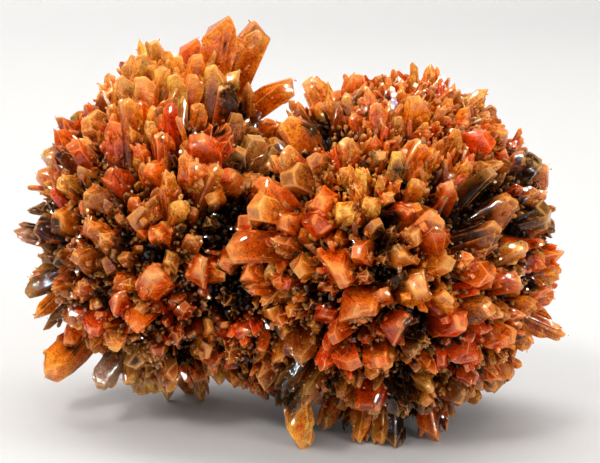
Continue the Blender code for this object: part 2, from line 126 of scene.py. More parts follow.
# each row: tip in millimetres right of and above the middle of the view, reach, width in millimetres,
# turn in degrees, habit, tone, and where needed how far the root is seen beside the lobe's centre
leftCrystals = [
    # crown of thin pale tips
    (-28.4, 38.5, 1, 4, 10, "block", "straw"),
    (-34.6, 34.5, 1, 3, 20, "spear", "straw"),
    (-24.2, 34.7, 1, 3.4, 40, "block", "khaki"),
    (-43, 25.7, 1, 3.4, 0, "spear", "red"),
    (-43.2, 23, 1, 5.2, 20, "chisel", "peach"),
    (-37.6, 22.6, 1.06, 3.8, 0, "blade", "orange"),
    # the big blades that stand up at the top
    (-8.8, 42.9, 1, 8, 12, "blade", "amber"),
    (-14, 43.5, 1, 7.6, 0, "blade", "amber"),
    (-20.4, 39, 1, 6, 10, "blade", "orange"),
    (-17, 36.9, 1.04, 3.6, 30, "spear", "straw"),
    (-15, 35.6, 1.04, 3.2, 0, "spear", "amber"),
    (-18.4, 34.7, 1, 3.2, 45, "block", "amber"),
    (-16, 32.3, 1, 3.8, 20, "block", "red"),
    (-10.2, 30.1, 1, 2.8, 10, "spear", "tan"),
    (-8, 28.1, 1, 2.8, 50, "spear", "tan"),
    (-1, 30.9, 1, 5.8, 0, "blade", "amber"),
    # upper middle
    (-24.6, 28.7, 1.02, 4.2, 10, "spear", "peach"),
    (-20, 26.3, 1, 3.8, 30, "block", "amber"),
    (-17, 30.3, 1, 5.2, 0, "chisel", "red"),
    (-12, 23.7, 1, 4, 20, "block", "peach"),
    (-14.4, 21.9, 1, 3.8, 60, "spear", "orange"),
    (-19, 20.3, 1.08, 6.6, 15, "block", "red"),
    (-13, 19.7, 1.04, 4, 0, "spear", "red"),
    (-7.6, 19.3, 1.04, 6.6, 30, "block", "khaki"),
    (-10.4, 16.3, 1, 4.6, 10, "block", "khaki"),
    (-32.4, 17.9, 1.04, 3.8, 10, "spear", "orange"),
    (-30.6, 14.1, 1, 4.4, 40, "block", "orange"),
    (-27, 12.7, 1.05, 4.2, 0, "spear", "amber"),
    # left side
    (-52, 15.9, 1, 5.4, 10, "chisel", "khaki"),
    (-53, 11.5, 1, 5.6, 30, "chisel", "peach"),
    (-52.4, 8.1, 1, 2.8, 0, "spear", "khaki"),
    (-54.8, 4.3, 1, 3.2, 20, "spear", "olive"),
    (-57.6, 0.3, 1, 4, 0, "spear", "clear"),
    (-54, -2.1, 1, 3.4, 40, "spear", "khaki"),
    (-49.8, 4.1, 1.02, 6.6, 20, "block", "amber"),
    (-43.6, 8.3, 1.04, 4.8, 10, "block", "tan"),
    (-38.8, 13.3, 1.02, 5.4, 30, "block", "red"),
    (-42.6, 2.7, 1.04, 4, 0, "spear", "amber"),
    (-40, -0.3, 1.06, 3.8, 15, "spear", "peach"),
    (-32, 5.7, 1, 7.6, 25, "block", "tan"),
    (-28.4, 0.7, 1.04, 4.4, 10, "block", "orange"),
    # towards the valley between the lobes
    (-12, 12.3, 1, 5, 0, "block", "amber"),
    (-17, 8.1, 1, 4.4, 30, "block", "amber"),
    (-19.6, 10.9, 1, 4, 0, "chisel", "tan"),
    (-23.4, 6.5, 1.04, 3.8, 50, "block", "straw"),
    (-10, 1.9, 1.04, 4.8, 0, "chisel", "orange"),
    # lower left side
    (-52.8, -4.9, 1, 2.8, 20, "spear", "khaki"),
    (-53, -7.7, 1, 2.8, 0, "spear", "khaki"),
    (-49.4, -5.7, 1, 4, 30, "chisel", "tan"),
    (-45.6, -3.7, 1.02, 4.2, 0, "block", "tan"),
    (-54.4, -9.3, 1, 4.2, 20, "spear", "amber"),
    (-50, -11.7, 1.02, 4.6, 0, "spear", "amber"),
    (-55.2, -12.3, 1, 3.8, 30, "block", "olive"),
    (-53.4, -17.7, 1, 3.8, 0, "spear", "amber"),
    (-51.6, -19.9, 1, 3, 20, "spear", "olive"),
    (-47.6, -22.7, 1.04, 4.4, 10, "block", "orange"),
    (-42.4, -20.9, 1.06, 4.4, 30, "block", "red"),
    (-51.2, -29.6, 1, 6.8, 38, "block", "amber"),
    (-41, -31.5, 1, 4.6, 28, "block", "clear"),
    # facing the viewer, below the middle
    (-30, -10.3, 1.1, 6.6, 45, "block", "orange"),
    (-19, -9.1, 1.08, 6, 20, "block", "orange"),
    (-36.8, -14.3, 1.04, 4.6, 30, "block", "red"),
    (-34.4, -19.1, 1.08, 4.8, 10, "block", "orange"),
    (-38.6, -23.7, 1.04, 4.2, 0, "block", "peach"),
    (-23.4, -16.3, 1.02, 4, 45, "block", "red"),
    (-24.4, -22.3, 1.08, 4.6, 0, "spear", "red"),
    (-11.6, -21.7, 1.06, 7.6, 20, "block", "orange"),
    (-10.4, -27.7, 1.04, 4.8, 0, "spear", "amber"),
    (-6.8, -23.3, 1.04, 4.2, 30, "block", "tan"),
    (-29.6, -24.9, 1, 4.4, 10, "block", "red"),
    # underside
    (-35.6, -30.5, 1, 4.2, 0, "block", "khaki"),
    (-32.2, -32.9, 1, 4.4, 30, "block", "khaki"),
    (-29.4, -32.7, 1, 4.6, 0, "block", "straw"),
    (-25, -30.3, 1.06, 4.4, 20, "spear", "peach"),
    (-12, -31.5, 1, 4.4, 20, "block", "tan"),
    (-7, -32.1, 1, 4.4, 0, "block", "khaki"),
]

rightCrystals = [
    # pale blades and spikes along the top
    (2, 31.3, 1, 4.8, 10, "block", "peach"),
    (9, 28.1, 1, 2.8, 30, "spear", "straw"),
    (10.6, 31.9, 1, 4.6, 0, "blade", "orange"),
    (13.4, 29.3, 1.04, 3, 20, "spear", "peach"),
    (26.2, 33.9, 1, 3.2, 0, "spear", "peach"),
    # between the top and the middle
    (9.2, 19.5, 1.04, 4, 30, "block", "peach"),
    (-3.8, 16.3, 1.14, 4, 0, "blade", "peach"),
    (-3, 12.3, 1.06, 5.4, 20, "chisel", "tan"),
    (3.2, 16.3, 1.04, 4.8, 10, "block", "tan"),
    # upper right
    (38, 28.7, 1, 3.4, 0, "spear", "straw"),
    (39.4, 24.7, 1, 3.4, 20, "block", "tan"),
    (42, 20.1, 1, 4.6, 10, "block", "tan"),
    (37.6, 20.5, 1.06, 6, 0, "blade", "red"),
    (49, 13.3, 1, 7.2, 20, "block", "olive"),
    (44.2, 6.3, 1.04, 6.6, 30, "block", "tan"),
    (48.6, 8.1, 1, 3.2, 0, "spear", "tan"),
    (50.4, 3.5, 1, 5.6, 10, "chisel", "olive"),
    (40.8, 0.7, 1.04, 4.6, 30, "block", "tan"),
    (53.2, -4.1, 1, 4.6, 0, "spear", "orange"),
    (52, -8.7, 1, 3.4, 20, "block", "amber"),
    (51, -11.7, 1, 5, 0, "spear", "orange"),
    (53.6, -20.9, 1, 4.6, 10, "spear", "amber"),
    # crystals that point left over the valley
    (-7.8, 10.7, 1.1, 5.4, 20, "block", "orange"),
    (-9.8, 5.3, 1.14, 5.4, 0, "chisel", "amber"),
    (-4, 3.3, 1.06, 4.6, 30, "block", "orange"),
    (-5.4, -1.7, 1.08, 4.2, 0, "spear", "tan"),
    (-15.6, -2.7, 1.2, 6.8, 10, "block", "orange"),
    (-12, -10.9, 1.14, 4.2, 20, "spear", "orange"),
    (-1.6, -7.7, 1.04, 4.4, 30, "block", "amber"),
    # middle, facing the viewer
    (1.6, 1.9, 1.06, 6.4, 45, "block", "red"),
    (3.4, 7.7, 1.06, 5.2, 10, "block", "orange"),
    (10, 5.1, 1.04, 5, 30, "block", "straw"),
    (14.8, 6.5, 1.04, 3.8, 0, "block", "straw"),
    (22.8, 4.5, 1.04, 4, 45, "block", "red"),
    (23.6, -0.1, 1.04, 4, 0, "chisel", "peach"),
    (29.6, 2.3, 1.1, 7.4, 15, "block", "orange"),
    (21.8, -4.7, 1.06, 4.8, 20, "block", "amber"),
    (10.4, -2.7, 1.04, 4.8, 30, "block", "orange"),
    (5.4, -7.5, 1.08, 7.6, 10, "block", "orange"),
    (26, -12.1, 1.12, 6.6, 30, "block", "amber"),
    (30.2, -8.1, 1.06, 4.8, 0, "block", "amber"),
    (31.2, -13.7, 1.06, 4.6, 45, "block", "amber"),
    (16, -13.1, 1.02, 3.8, 20, "block", "orange"),
    (35, -5.3, 1.02, 3.8, 0, "spear", "peach"),
    (39, -9.3, 1.02, 5.4, 10, "chisel", "orange"),
    (20.4, -9.9, 1, 3.8, 30, "block", "tan"),
    # lower right
    (36, -26.5, 1.04, 7.2, 0, "blade", "red"),
    (33.6, -20.1, 1.06, 6, 20, "block", "red"),
    (39.6, -16.3, 1.04, 5.2, 30, "block", "tan"),
    (43.2, -22.7, 1.02, 5.4, 0, "block", "orange"),
    (45.6, -16.9, 1, 4, 20, "spear", "amber"),
    (40.4, -30.1, 1, 4.4, 0, "spear", "orange"),
    (32.6, -35.1, 1, 6.8, 30, "block", "tan"),
    (35.2, -31.1, 1, 4.4, 0, "block", "red"),
    # lower front
    (10.4, -18.1, 1.12, 7.8, 30, "block", "orange"),
    (5.4, -20.9, 1.04, 4.2, 0, "block", "red"),
    (10, -28.1, 1.06, 5.4, 10, "block", "red"),
    (15.4, -27.7, 1.06, 5.2, 30, "block", "orange"),
    (20.6, -20.5, 1.1, 6, 0, "block", "red"),
    (23.2, -25.3, 1.04, 4.2, 20, "block", "tan"),
    (27.4, -28.9, 1.02, 3.8, 30, "spear", "orange"),
    (1.8, -31.1, 1.02, 4.2, 20, "block", "orange"),
    (0, -26.7, 1.06, 6.2, 10, "blade", "tan"),
    (15.6, -37.1, 1.06, 7.4, 0, "blade", "red", -3, 0),
    (4.4, -40.1, 1, 3.8, 0, "spear", "tan"),
    (8.4, -39.5, 1, 3.2, 30, "spear", "olive"),
    (25.2, -35.3, 1.02, 4.2, 20, "block", "amber"),
]

# the crystals that it stands on: lobe, tip over the floor in millimetres (right, back), width, turn, habit,
# tone, and where needed how far the root is shifted
feet = [
    (rightLobe, 0.4, -19.6, 7.4, 52, "spear", "straw", -13, 0),
    (rightLobe, 11.6, -16.4, 4.8, 20, "spear", "amber"),
    (rightLobe, 15.8, -17.2, 4.6, 0, "spear", "amber"),
    (rightLobe, 18.6, -18.4, 3.8, 10, "spear", "olive"),
    (rightLobe, 27, -14.6, 6.6, 0, "spear", "orange"),
    (rightLobe, 22, 14, 5.6, 30, "block", "orange"),
    (leftLobe, -28, 12, 4.2, 0, "spear", "khaki"),
    (leftLobe, -20.2, 12, 4.4, 20, "spear", "khaki"),
    (leftLobe, -24, 19, 5.2, 0, "block", "tan"),
]

# smaller crystals that can still be told apart, in rows like the ones above
leftSmall = [
    (-32.2, 38.7, 1, 2.2, 0, "spear", "straw"),
    (-30.8, 38.2, 1, 2.4, 30, "spear", "straw"),
    (-38.2, 31.9, 1, 1.8, 0, "spear", "straw"),
    (-36.4, 28.7, 1, 2.4, 50, "spear", "straw"),
    (-37.6, 25.5, 1.04, 3, 15, "block", "amber"),
    (-44.4, 18.9, 1, 3.4, 20, "spear", "peach"),
    (-49.6, 17.7, 1, 2.6, 0, "spear", "tan"),
    (-18.2, 2.5, 1, 3.2, 20, "spear", "straw"),
    (-20.8, -0.9, 1.02, 3.2, 10, "block", "tan"),
    (-35.8, -10.3, 1.04, 3.6, 0, "spear", "amber"),
    (-32.8, -15.5, 1.06, 2.8, 0, "spear", "peach"),
    (-40.4, -17.3, 1.02, 3.2, 20, "spear", "red"),
    (-17.2, -27.3, 1.02, 3.4, 0, "block", "red"),
    (-20.6, 14.4, 1.1, 3.8, 20, "block", "orange"),
    (-16.4, 13.6, 1.08, 3.2, 40, "chisel", "tan"),
    (-23, 16.6, 1.08, 3.2, 0, "spear", "peach"),
    (-27.6, 20.4, 1.04, 3.6, 30, "block", "orange"),
    (-34, 21.6, 1.04, 3.4, 10, "spear", "amber"),
    (-38, -31.4, 1, 2.8, 20, "block", "khaki"),
    (-27, -32.2, 1, 3, 0, "block", "khaki"),
    (-21, -30.6, 1, 3.2, 30, "spear", "orange"),
    (-16, -31, 1, 3, 0, "block", "khaki"),
    # lumpy golden crystals in front of the broad blades, and those of the crown
    (-13, 36.4, 1.16, 4.6, 30, "block", "straw"),
    (-16.6, 33.6, 1.14, 4.4, 0, "block", "straw"),
    (-11.6, 32.6, 1.14, 3.8, 0, "spear", "straw"),
    (-19.4, 35.6, 1.14, 4, 20, "block", "amber"),
    (-14, 29.6, 1.1, 4.4, 10, "block", "orange"),
    (-20.4, 31.6, 1.1, 4.2, 30, "block", "amber"),
    (-31, 36, 1.14, 4, 10, "block", "straw"),
    (-27, 33.6, 1.12, 4.6, 30, "block", "straw"),
    (-35.4, 31.4, 1.12, 3.6, 0, "block", "straw"),
    (-30.4, 31.4, 1.12, 4.4, 0, "block", "peach"),
    (-24.6, 31.8, 1.1, 4, 20, "block", "straw"),
    (-34, 27, 1.1, 4.2, 30, "block", "amber"),
]

rightSmall = [
    (5.6, 30.3, 1, 2.4, 0, "spear", "straw"),
    (15.6, 26.3, 1.04, 3.4, 0, "block", "orange"),
    (18.8, 32.7, 1, 2, 0, "spear", "amber"),
    (22.6, 34.1, 1, 2.2, 20, "spear", "straw"),
    (28.2, 31.3, 1, 2.6, 40, "spear", "amber"),
    (31, 29.7, 1, 2.6, 0, "spear", "amber"),
    (20.6, 29, 1, 3, 30, "spear", "amber"),
    (24.8, 27.4, 1, 3, 0, "spear", "amber"),
    (29.4, 25.6, 1, 3.2, 50, "spear", "tan"),
    (34, 25.2, 1, 3, 0, "spear", "amber"),
    (20.2, 23.4, 1, 3.2, 20, "block", "tan"),
    (25.8, 22, 1, 3.2, 40, "spear", "amber"),
    (32, 20.4, 1, 3.2, 0, "block", "tan"),
    (6.8, 17.1, 1.02, 2.8, 0, "spear", "red"),
    (15.2, 19.1, 1.02, 3, 20, "spear", "orange"),
    (17.2, 16.1, 1, 3.2, 45, "block", "khaki"),
    (20.6, 16.3, 1.02, 3.4, 0, "block", "straw"),
    (28.2, 16.3, 1, 3.2, 30, "spear", "amber"),
    (33.6, 14.3, 1, 3.4, 0, "spear", "amber"),
    (8.4, 12.7, 1.04, 3.4, 30, "spear", "straw"),
    (12.4, 12.9, 1.04, 3.2, 0, "spear", "amber"),
    (16.4, 11.1, 1.02, 3, 40, "spear", "straw"),
    (10.8, 9.3, 1.04, 3.2, 0, "spear", "amber"),
    (24, 10.7, 1.02, 3.2, 20, "block", "amber"),
    (20.4, 10.3, 1.02, 2.6, 0, "spear", "amber"),
    (30.6, 10.3, 1, 3.6, 30, "block", "orange"),
    (41, 13.7, 1.04, 3.6, 0, "spear", "khaki"),
    (39.8, -2.5, 1, 3.6, 0, "spear", "tan"),
    (-5.6, -9.9, 1.04, 3.4, 0, "spear", "orange"),
    (-7.6, -15.1, 1.06, 3.2, 0, "spear", "tan"),
    (-2.4, -17.1, 1.02, 3.6, 20, "spear", "tan"),
    (18.4, 7.3, 1.04, 3, 20, "spear", "peach"),
    (15, 0.9, 1.04, 3.4, 30, "block", "amber"),
    (18.8, 1.1, 1.02, 3, 0, "spear", "amber"),
    (17.2, -5.1, 1, 3, 0, "spear", "tan"),
    (13.6, -8.7, 1, 3.2, 0, "spear", "tan"),
    (41.8, -26.1, 1, 3.4, 20, "spear", "tan"),
    (26.4, -22.5, 1.02, 3.6, 0, "spear", "tan"),
    (4, -28.1, 1.04, 3.4, 0, "spear", "red"),
    (-1.8, -31.1, 1, 3.4, 0, "spear", "khaki"),
    (21.6, -36.9, 1.04, 3.6, 0, "spear", "amber"),
    # black lumps around the front foot
    (-5.4, -31.6, 1.2, 2.4, 20, "block", "olive"),
    (-4, -33.6, 1.22, 2.6, 0, "spear", "olive"),
    (-2.4, -32.2, 1.2, 2.2, 40, "block", "olive"),
    (-3.2, -35.6, 1.22, 2.4, 10, "spear", "olive"),
    (-1, -34.2, 1.2, 2.6, 30, "block", "olive"),
    (0.8, -32.8, 1.2, 2.2, 0, "spear", "olive"),
    (0.4, -35.4, 1.22, 2.2, 50, "block", "olive"),
    (-5, -35, 1.2, 2, 0, "block", "olive"),
    (-1.8, -36.8, 1.24, 2, 20, "spear", "olive"),
]

growth = {
    "seed": 42,
    "rootShare": 0.55,
    "footSunk": 0.7 * mm,
    "tries": 400,     # directions looked at around each lobe
    "spacing": 1.15,  # between crystals, in widths
    "widths": [(7.0 * mm, 9.5 * mm), (4.2 * mm, 5.4 * mm)],
    "reaches": (0.96, 1.07),
    "habits": ["spear", "block", "chisel", "block", "spear", "blade"],
    "sunkReach": 0.95,
    "large": 3 * mm,  # a wider crystal has thinner ones along its sides
}

# habits, as multiples of the width: thickness, width of the root end, and the planes that cut the free end
habits = {
    "spear": (0.74, 0.70, [
        (0.00, (0.75, 0.50, 0.42)),
        (-0.10, (-0.72, 0.52, 0.46)),
        (-0.06, (0.70, -0.55, 0.46)),
        (0.00, (-0.75, -0.50, 0.50)),
    ]),
    "block": (0.82, 0.74, [
        (0.00, (0.42, 0.30, 0.86)),
        (-0.10, (-0.78, 0.10, 0.50)),
        (-0.16, (0.10, -0.84, 0.44)),
    ]),
    "chisel": (0.62, 0.70, [(0.00, (0.62, 0.10, 0.62)), (-0.06, (-0.66, -0.14, 0.66))]),
    "blade": (0.46, 0.72, [
        (0.00, (0.80, 0.10, 0.42)),
        (-0.10, (-0.34, 0.30, 0.90)),
        (-0.04, (0.10, -0.86, 0.42)),
    ]),
}
prismTurn = {"spear": 0, "block": 45, "chisel": 45, "blade": 45}

# the colour of each tone's body, sRGB, and how pale its tips are
tones = {
    "straw": ("#E0A446", 0.75), "amber": ("#D67F20", 0.65), "peach": ("#E29149", 0.95),
    "orange": ("#DA6614", 0.65), "red": ("#CA450F", 0.4), "tan": ("#AC6726", 0.5),
    "khaki": ("#B58749", 0.65), "olive": ("#5E4520", 0.4), "clear": ("#9A857C", 0.6),
    # glint: near white, a painted glint on small crystals
    "glint": ("#FFF4DC", 0.0),
}
commonTones = {"orange": 0.36, "red": 0.11, "amber": 0.25, "peach": 0.08, "straw": 0.06, "tan": 0.14}

# parts of the cluster where one tone is common among the smaller crystals: across, up, radius, tone
toneZones = [
    (-30, 36, 10, "straw"), (-34, 28, 8, "straw"), (-15, 34, 7, "straw"), (-54, 2, 9, "khaki"),
    (-50, -8, 8, "tan"), (-53, -16, 6, "khaki"), (-40, 18, 9, "orange"), (-32, 4, 9, "tan"),
    (-20, 8, 8, "tan"), (-20, 0, 8, "straw"), (-18, 26, 9, "red"), (-9, 28, 6, "tan"),
    (-8, 15, 6, "khaki"), (-30, -32, 9, "khaki"), (-10, -30, 8, "tan"), (-24, -18, 10, "red"),
    (-14, -20, 7, "red"), (24, 26, 13, "amber"), (33, 24, 8, "tan"), (12, 16, 8, "straw"),
    (24, 12, 9, "amber"), (12, 6, 8, "straw"), (40, 10, 8, "olive"), (46, 4, 8, "olive"),
    (50, -6, 8, "orange"), (32, -20, 9, "red"), (8, -18, 10, "red"), (10, -38, 10, "tan"),
    (24, -38, 7, "olive"), (34, -32, 8, "tan"), (-2, 6, 7, "amber"), (44, -16, 8, "amber"),
]

# where black inclusions and black druse show, and where black is painted as shade in deep gaps and shadowed
# hollows: across, up, radius, strength
oxideAndShadeSpots = [
    (-13.6, 26.5, 5, 1), (-47.5, 14.9, 2.8, 1), (-50.4, 0.7, 4.8, 1), (-53.4, 1.3, 2.2, 0.8),
    (-49.2, -6.7, 3, 0.9), (-46, -24.2, 2.4, 1), (-17, 1.3, 4.4, 0.9), (-12.3, 5.8, 3.2, 1),
    (-28, -3.7, 3, 0.8), (-13, -12.2, 4.4, 0.9), (-11.8, 13.3, 3, 0.9), (-23, -24.7, 6, 0.5),
    (-33.2, -25.7, 2.6, 0.8), (3.3, 20.5, 3.8, 1), (45, 12.7, 5.2, 0.8), (36.3, 6.8, 5.2, 1),
    (43.5, -0.1, 3.4, 1), (34.2, 1.3, 4.4, 1), (20, 12.3, 2.8, 0.9), (17, -2, 4.4, 0.9),
    (18.4, 2.5, 3.4, 0.9), (16, -9, 3.4, 0.8), (9.2, -17.8, 1.3, 1), (-3.2, -33, 5.8, 1),
    (-14.6, 37.6, 2.2, 0.6), (8, -39.5, 3, 1), (19.8, -39.3, 3.8, 1), (21.5, -32.7, 4.6, 1),
    (27.8, -37.7, 3.2, 0.8), (23.2, -19.6, 5, 0.9), (19.6, -9.6, 4, 0.9), (-36, -2, 2.6, 0.7),
    (-16, 20, 2.4, 0.7),
]

# deep gaps, where the small crystals are painted nearly black as shade and black druse: across, up, radius
gapZones = [
    (-17, 1.3, 4.2), (-12.4, 5.7, 3), (-28, -3.7, 2.8), (-13, -12.1, 4.4), (20, 12.3, 2.8),
    (17.4, 0.8, 4.8), (18.4, 3.6, 3.8), (19.6, -9.6, 4.2), (17, -6.7, 3.2), (23.2, -19.6, 5.2),
    (21.5, -32.7, 4.6), (34.2, 1.3, 4), (36.2, 6.7, 4.2), (43.6, -0.1, 3.2), (-50, 0.7, 3),
    (-13.6, 26.5, 4.6), (3.3, 20.5, 3.4), (-2.8, -33.2, 4.6), (-23, -26, 3.6), (-36, -2, 2.4),
]

# parts where the crystals are painted darker, deep red to brown, as shade: across, up, radius, share of
# brightness
paintedShadeZones = [
    (-24, -22, 9, 0.5), (-14, -13, 5, 0.6), (23, -26, 8, 0.5), (36, 3, 9, 0.55), (-2, -27, 6, 0.65),
    (18, -2, 6, 0.6), (-50, -2, 6, 0.65), (-17, 4, 7, 0.65), (-14, 25, 7, 0.6), (20, -38, 12, 0.6),
    (2, -14, 5, 0.7), (-36, -6, 5, 0.7), (32, -36, 8, 0.6), (-10, 18, 5, 0.65),
]

# across, up and radius of the patches of finer, brighter druse
fineZones = [(24, 25, 13), (34, 17, 6), (-22, 30, 5), (12, 9, 8), (-26, -31, 8), (-4, -30, 6)]

zoneSettings = {
    "toneDepth": 12 * mm,   # further back than this no zone sets tone or darkness
    "gapDepth": 10 * mm,
    "fineDepth": 14 * mm,
    "oxideAndShadeDepth": 10 * mm,
    "oxideAndShadeFade": 6 * mm,     # the black of the inclusions and of the painted shade thins out over this much before that depth
    "steepness": 1.6,       # of dark and black zones towards their middle
    "tonePull": 2.4,
    # brightness of the crystals at the back, painted shade
    "backShade": 0.85,
    "backTan": (14 * mm, 1.5, 1.2),  # size of the patches at the back, share of tan, share of khaki
    "backRed": (11 * mm, 1.4),
}


# how much painted shade darkens a crystal: by zone in front, evenly at the back
def paintedShadeAt(place):
    if place.y >= zoneSettings["toneDepth"]:
        return zoneSettings["backShade"]
    steep = zoneSettings["steepness"]
    return min(1 - (1 - zone[3]) * min(1.0, steep * max(0.0, near))
               for near, zone in zip(nearness(place, paintedShadeZones), paintedShadeZones))


# how much black there is at each place: inclusions, and painted shade in gaps and hollows
def oxideAndShadeAt(places):
    across, up = seenPlaces(places).T
    soot = np.zeros(len(places))
    inFront = np.clip((zoneSettings["oxideAndShadeDepth"] - places[:, 1]) / zoneSettings["oxideAndShadeFade"], 0, 1)
    for spotAcross, spotUp, radius, strength in oxideAndShadeSpots:
        near = 1 - np.hypot(across - spotAcross, up - spotUp) / radius
        soot = np.maximum(soot, strength * np.clip(near * zoneSettings["steepness"], 0, 1) * inFront)
    return soot


# a tone for a crystal that isn't listed, from where it stands
def pickTone(place, chance):
    weights = dict(commonTones)
    if place.y < zoneSettings["toneDepth"]:
        for near, zone in zip(nearness(place, toneZones), toneZones):
            if near > 0:
                weights[zone[3]] = weights.get(zone[3], 0) + zoneSettings["tonePull"] * near
    else:
        size, tanShare, khakiShare = zoneSettings["backTan"]
        cloud = noise.noise(place / size)
        weights["tan"] += max(0, cloud) * tanShare
        weights["khaki"] = max(0, -cloud) * khakiShare
        size, redShare = zoneSettings["backRed"]
        weights["red"] += max(0, noise.noise(place / size + Vector((5, 0, 0)))) * redShare
    return chance.choices(list(weights), list(weights.values()))[0]


def linearColour(hexText):
    channels = [int(hexText[i:i + 2], 16) / 255 for i in (1, 3, 5)]
    return [c / 12.92 if c <= 0.04045 else ((c + 0.055) / 1.055) ** 2.4 for c in channels] + [1.0]


def gaussVector(chance, spread):
    return Vector([chance.gauss(0, spread) for _ in range(3)])


def planCrystal(lobe, tip, width, turn, habit, tone, lean=()):
    centre, reach = lobe
    root = centre + (tip - centre) * (1 - growth["rootShare"])
    if lean:
        root += Vector((lean[0], 0, lean[1])) * mm
    leaves = centre + (tip - centre) * (heartShare / squashed(tip - centre, reach).length)
    return {"lobe": lobe, "tip": tip, "root": root, "leaves": leaves, "width": width,
            "turn": turn, "habit": habit, "tone": tone}


def planListed(rows, lobe, chance):
    planned = []
    for across, up, stretch, width, turn, habit, tone, *lean in rows:
        tip = tipSeenAt(across, up, lobe, stretch, chance)
        planned.append(planCrystal(lobe, tip, width * mm, turn, habit, tone, lean))
    return planned


def planFeet():
    planned = []
    for lobe, right, back, width, turn, habit, tone, *lean in feet:
        tip = Vector((right, back, 0)) * mm - Vector((0, 0, growth["footSunk"]))
        planned.append(planCrystal(lobe, tip, width * mm, turn, habit, tone, lean))
    return planned


def evenDirections(count):
    goldenTurn = math.pi * (3 - math.sqrt(5))
    for step in range(count):
        height = 1 - 2 * (step + 0.5) / count
        ring = math.sqrt(1 - height * height)
        yield Vector((ring * math.cos(goldenTurn * step), ring * math.sin(goldenTurn * step), height))


# the crystals that cover what the listed ones leave free: back, top, underside and gaps
def planFill(lobe, widths, taken, chance, toneChance):
    centre, reach = lobe
    planned = []
    for direction in evenDirections(growth["tries"]):
        width = chance.uniform(*widths)
        stretch = chance.uniform(*growth["reaches"])
        turn = chance.uniform(0, 90)
        habit = chance.choice(growth["habits"])
        tip = centre + direction * reach * stretch
        tip.z = max(tip.z, width)
        crystal = planCrystal(lobe, tip, width, turn, habit, "orange")
        crowded = any((crystal["leaves"] - place).length < width * growth["spacing"] for place in taken)
        if crowded or insideOthers(tip, lobe, growth["sunkReach"]):
            continue
        crystal["tone"] = pickTone(tip, toneChance)
        taken.append(crystal["leaves"])
        planned.append(crystal)
    return planned


def planMain():
    chance, toneChance, smallChance = [random.Random(growth["seed"] + step) for step in range(3)]
    planned = planListed(leftCrystals, leftLobe, chance)
    planned += planListed(rightCrystals, rightLobe, chance)
    planned += planFeet()
    taken = [crystal["leaves"] for crystal in planned]
    for widths in growth["widths"]:
        for lobe in lobes:
            planned += planFill(lobe, widths, taken, chance, toneChance)
    planned += planListed(leftSmall, leftLobe, smallChance)
    return planned + planListed(rightSmall, rightLobe, smallChance)


# the crystals that face the viewer radiate from places less deep than the lobes' centres, so they lean out
splay = {
    "seed": 31,
    "strength": 1.15,
    "radius": 36,                               # millimetres
    "centres": [(-26, -8), (14, -8), (-6, -4)],  # across and up, for each lobe
    "ownLean": 0.16,
    "leastOut": 0.1,                            # towards the viewer, so that none lies flat
    "swing": 1.5,                               # how soon it sets in as a crystal turns to the viewer
    "broad": 7 * mm,                            # blades wider than this stand as they are
    "nearFloor": 3 * mm,                        # and so do tips under this height
}


def splayed(axis, tip, lobe, chance):
    own = gaussVector(chance, splay["ownLean"])
    facing = axis.dot(toViewer)
    if facing > 0:
        aside = Vector(seenPlaces([tip])[0] - splay["centres"][lobes.index(lobe)]) / splay["radius"]
        wanted = Vector((aside.x, 0, 0)) + above * aside.y
        out = math.sqrt(max(splay["leastOut"], 1 - aside.length_squared))
        wanted = wanted * splay["strength"] + toViewer * out
        axis = axis.lerp(wanted.normalized(), min(1, facing * splay["swing"]))
    return (axis + own).normalized()


def splayMain(crystals):
    chance = random.Random(splay["seed"])
    for crystal in crystals:
        broad = crystal["habit"] == "blade" and crystal["width"] > splay["broad"]
        if broad or crystal["tip"].z < splay["nearFloor"]:
            continue
        away = crystal["tip"] - crystal["root"]
        axis = splayed(away.normalized(), crystal["tip"], crystal["lobe"], chance)
        crystal["root"] = crystal["tip"] - axis * away.length


# sizes here are shares of a crystal's width
shapeSettings = {
    "seed": 7,
    "variants": 6,
    "halfLength": 2.0,       # of a prism before its end is cut and its root moved to its depth
    "overTip": 0.6,          # how far the uncut prism stands over its tip
    "planeJitter": 0.24,     # how much the end faces differ from one variant to the next
    "chanceCut": ((0.02, 0.12), (0.5, 1.2)),  # height and lean of a further cut
    "wobble": 0.03,          # unevenness of the corners
    "edgeRound": 0.1,        # rounding of the edges
    "sharpRoot": 0.3,        # this much of the root end stays sharp
    "edgeWidth": 0.06,       # a face narrower than this counts as an edge
    "hillock": 0.016,        # how far the middle of a face stands out
    "sidePrisms": (2, 5),    # thinner crystals grown along the side of a large one
    "sideSize": (0.22, 0.7),
    "sideIn": 0.32,          # how much further in a thick one stands than a thin one
    "sideDrop": (0.06, 1.1),
    "sideLean": 7,           # degrees
    "rings": (-0.6, -1.2),   # where a large one has more points along it, for the inclusions
    "rootLine": -1.9,        # points below this are moved to the root's depth
    "speckEnd": [(-0.2, 0.2), (-0.2, 0.2), (-0.6, 0.2)],  # unevenness of the smallest ones' ends
}


def everything(bm):
    return bm.verts[:] + bm.edges[:] + bm.faces[:]


# takes off what lies beyond a plane and closes the hole
def cutAway(bm, place, facing):
    cut = bmesh.ops.bisect_plane(bm, geom=everything(bm), plane_co=place, plane_no=facing,
                                 clear_outer=True)
    rim = [item for item in cut["geom_cut"] if isinstance(item, bmesh.types.BMEdge)]
    if rim:
        bmesh.ops.holes_fill(bm, edges=rim)


def meshFrom(name, bm):
    mesh = bpy.data.meshes.new(name)
    bm.to_mesh(mesh)
    bm.free()
    return mesh


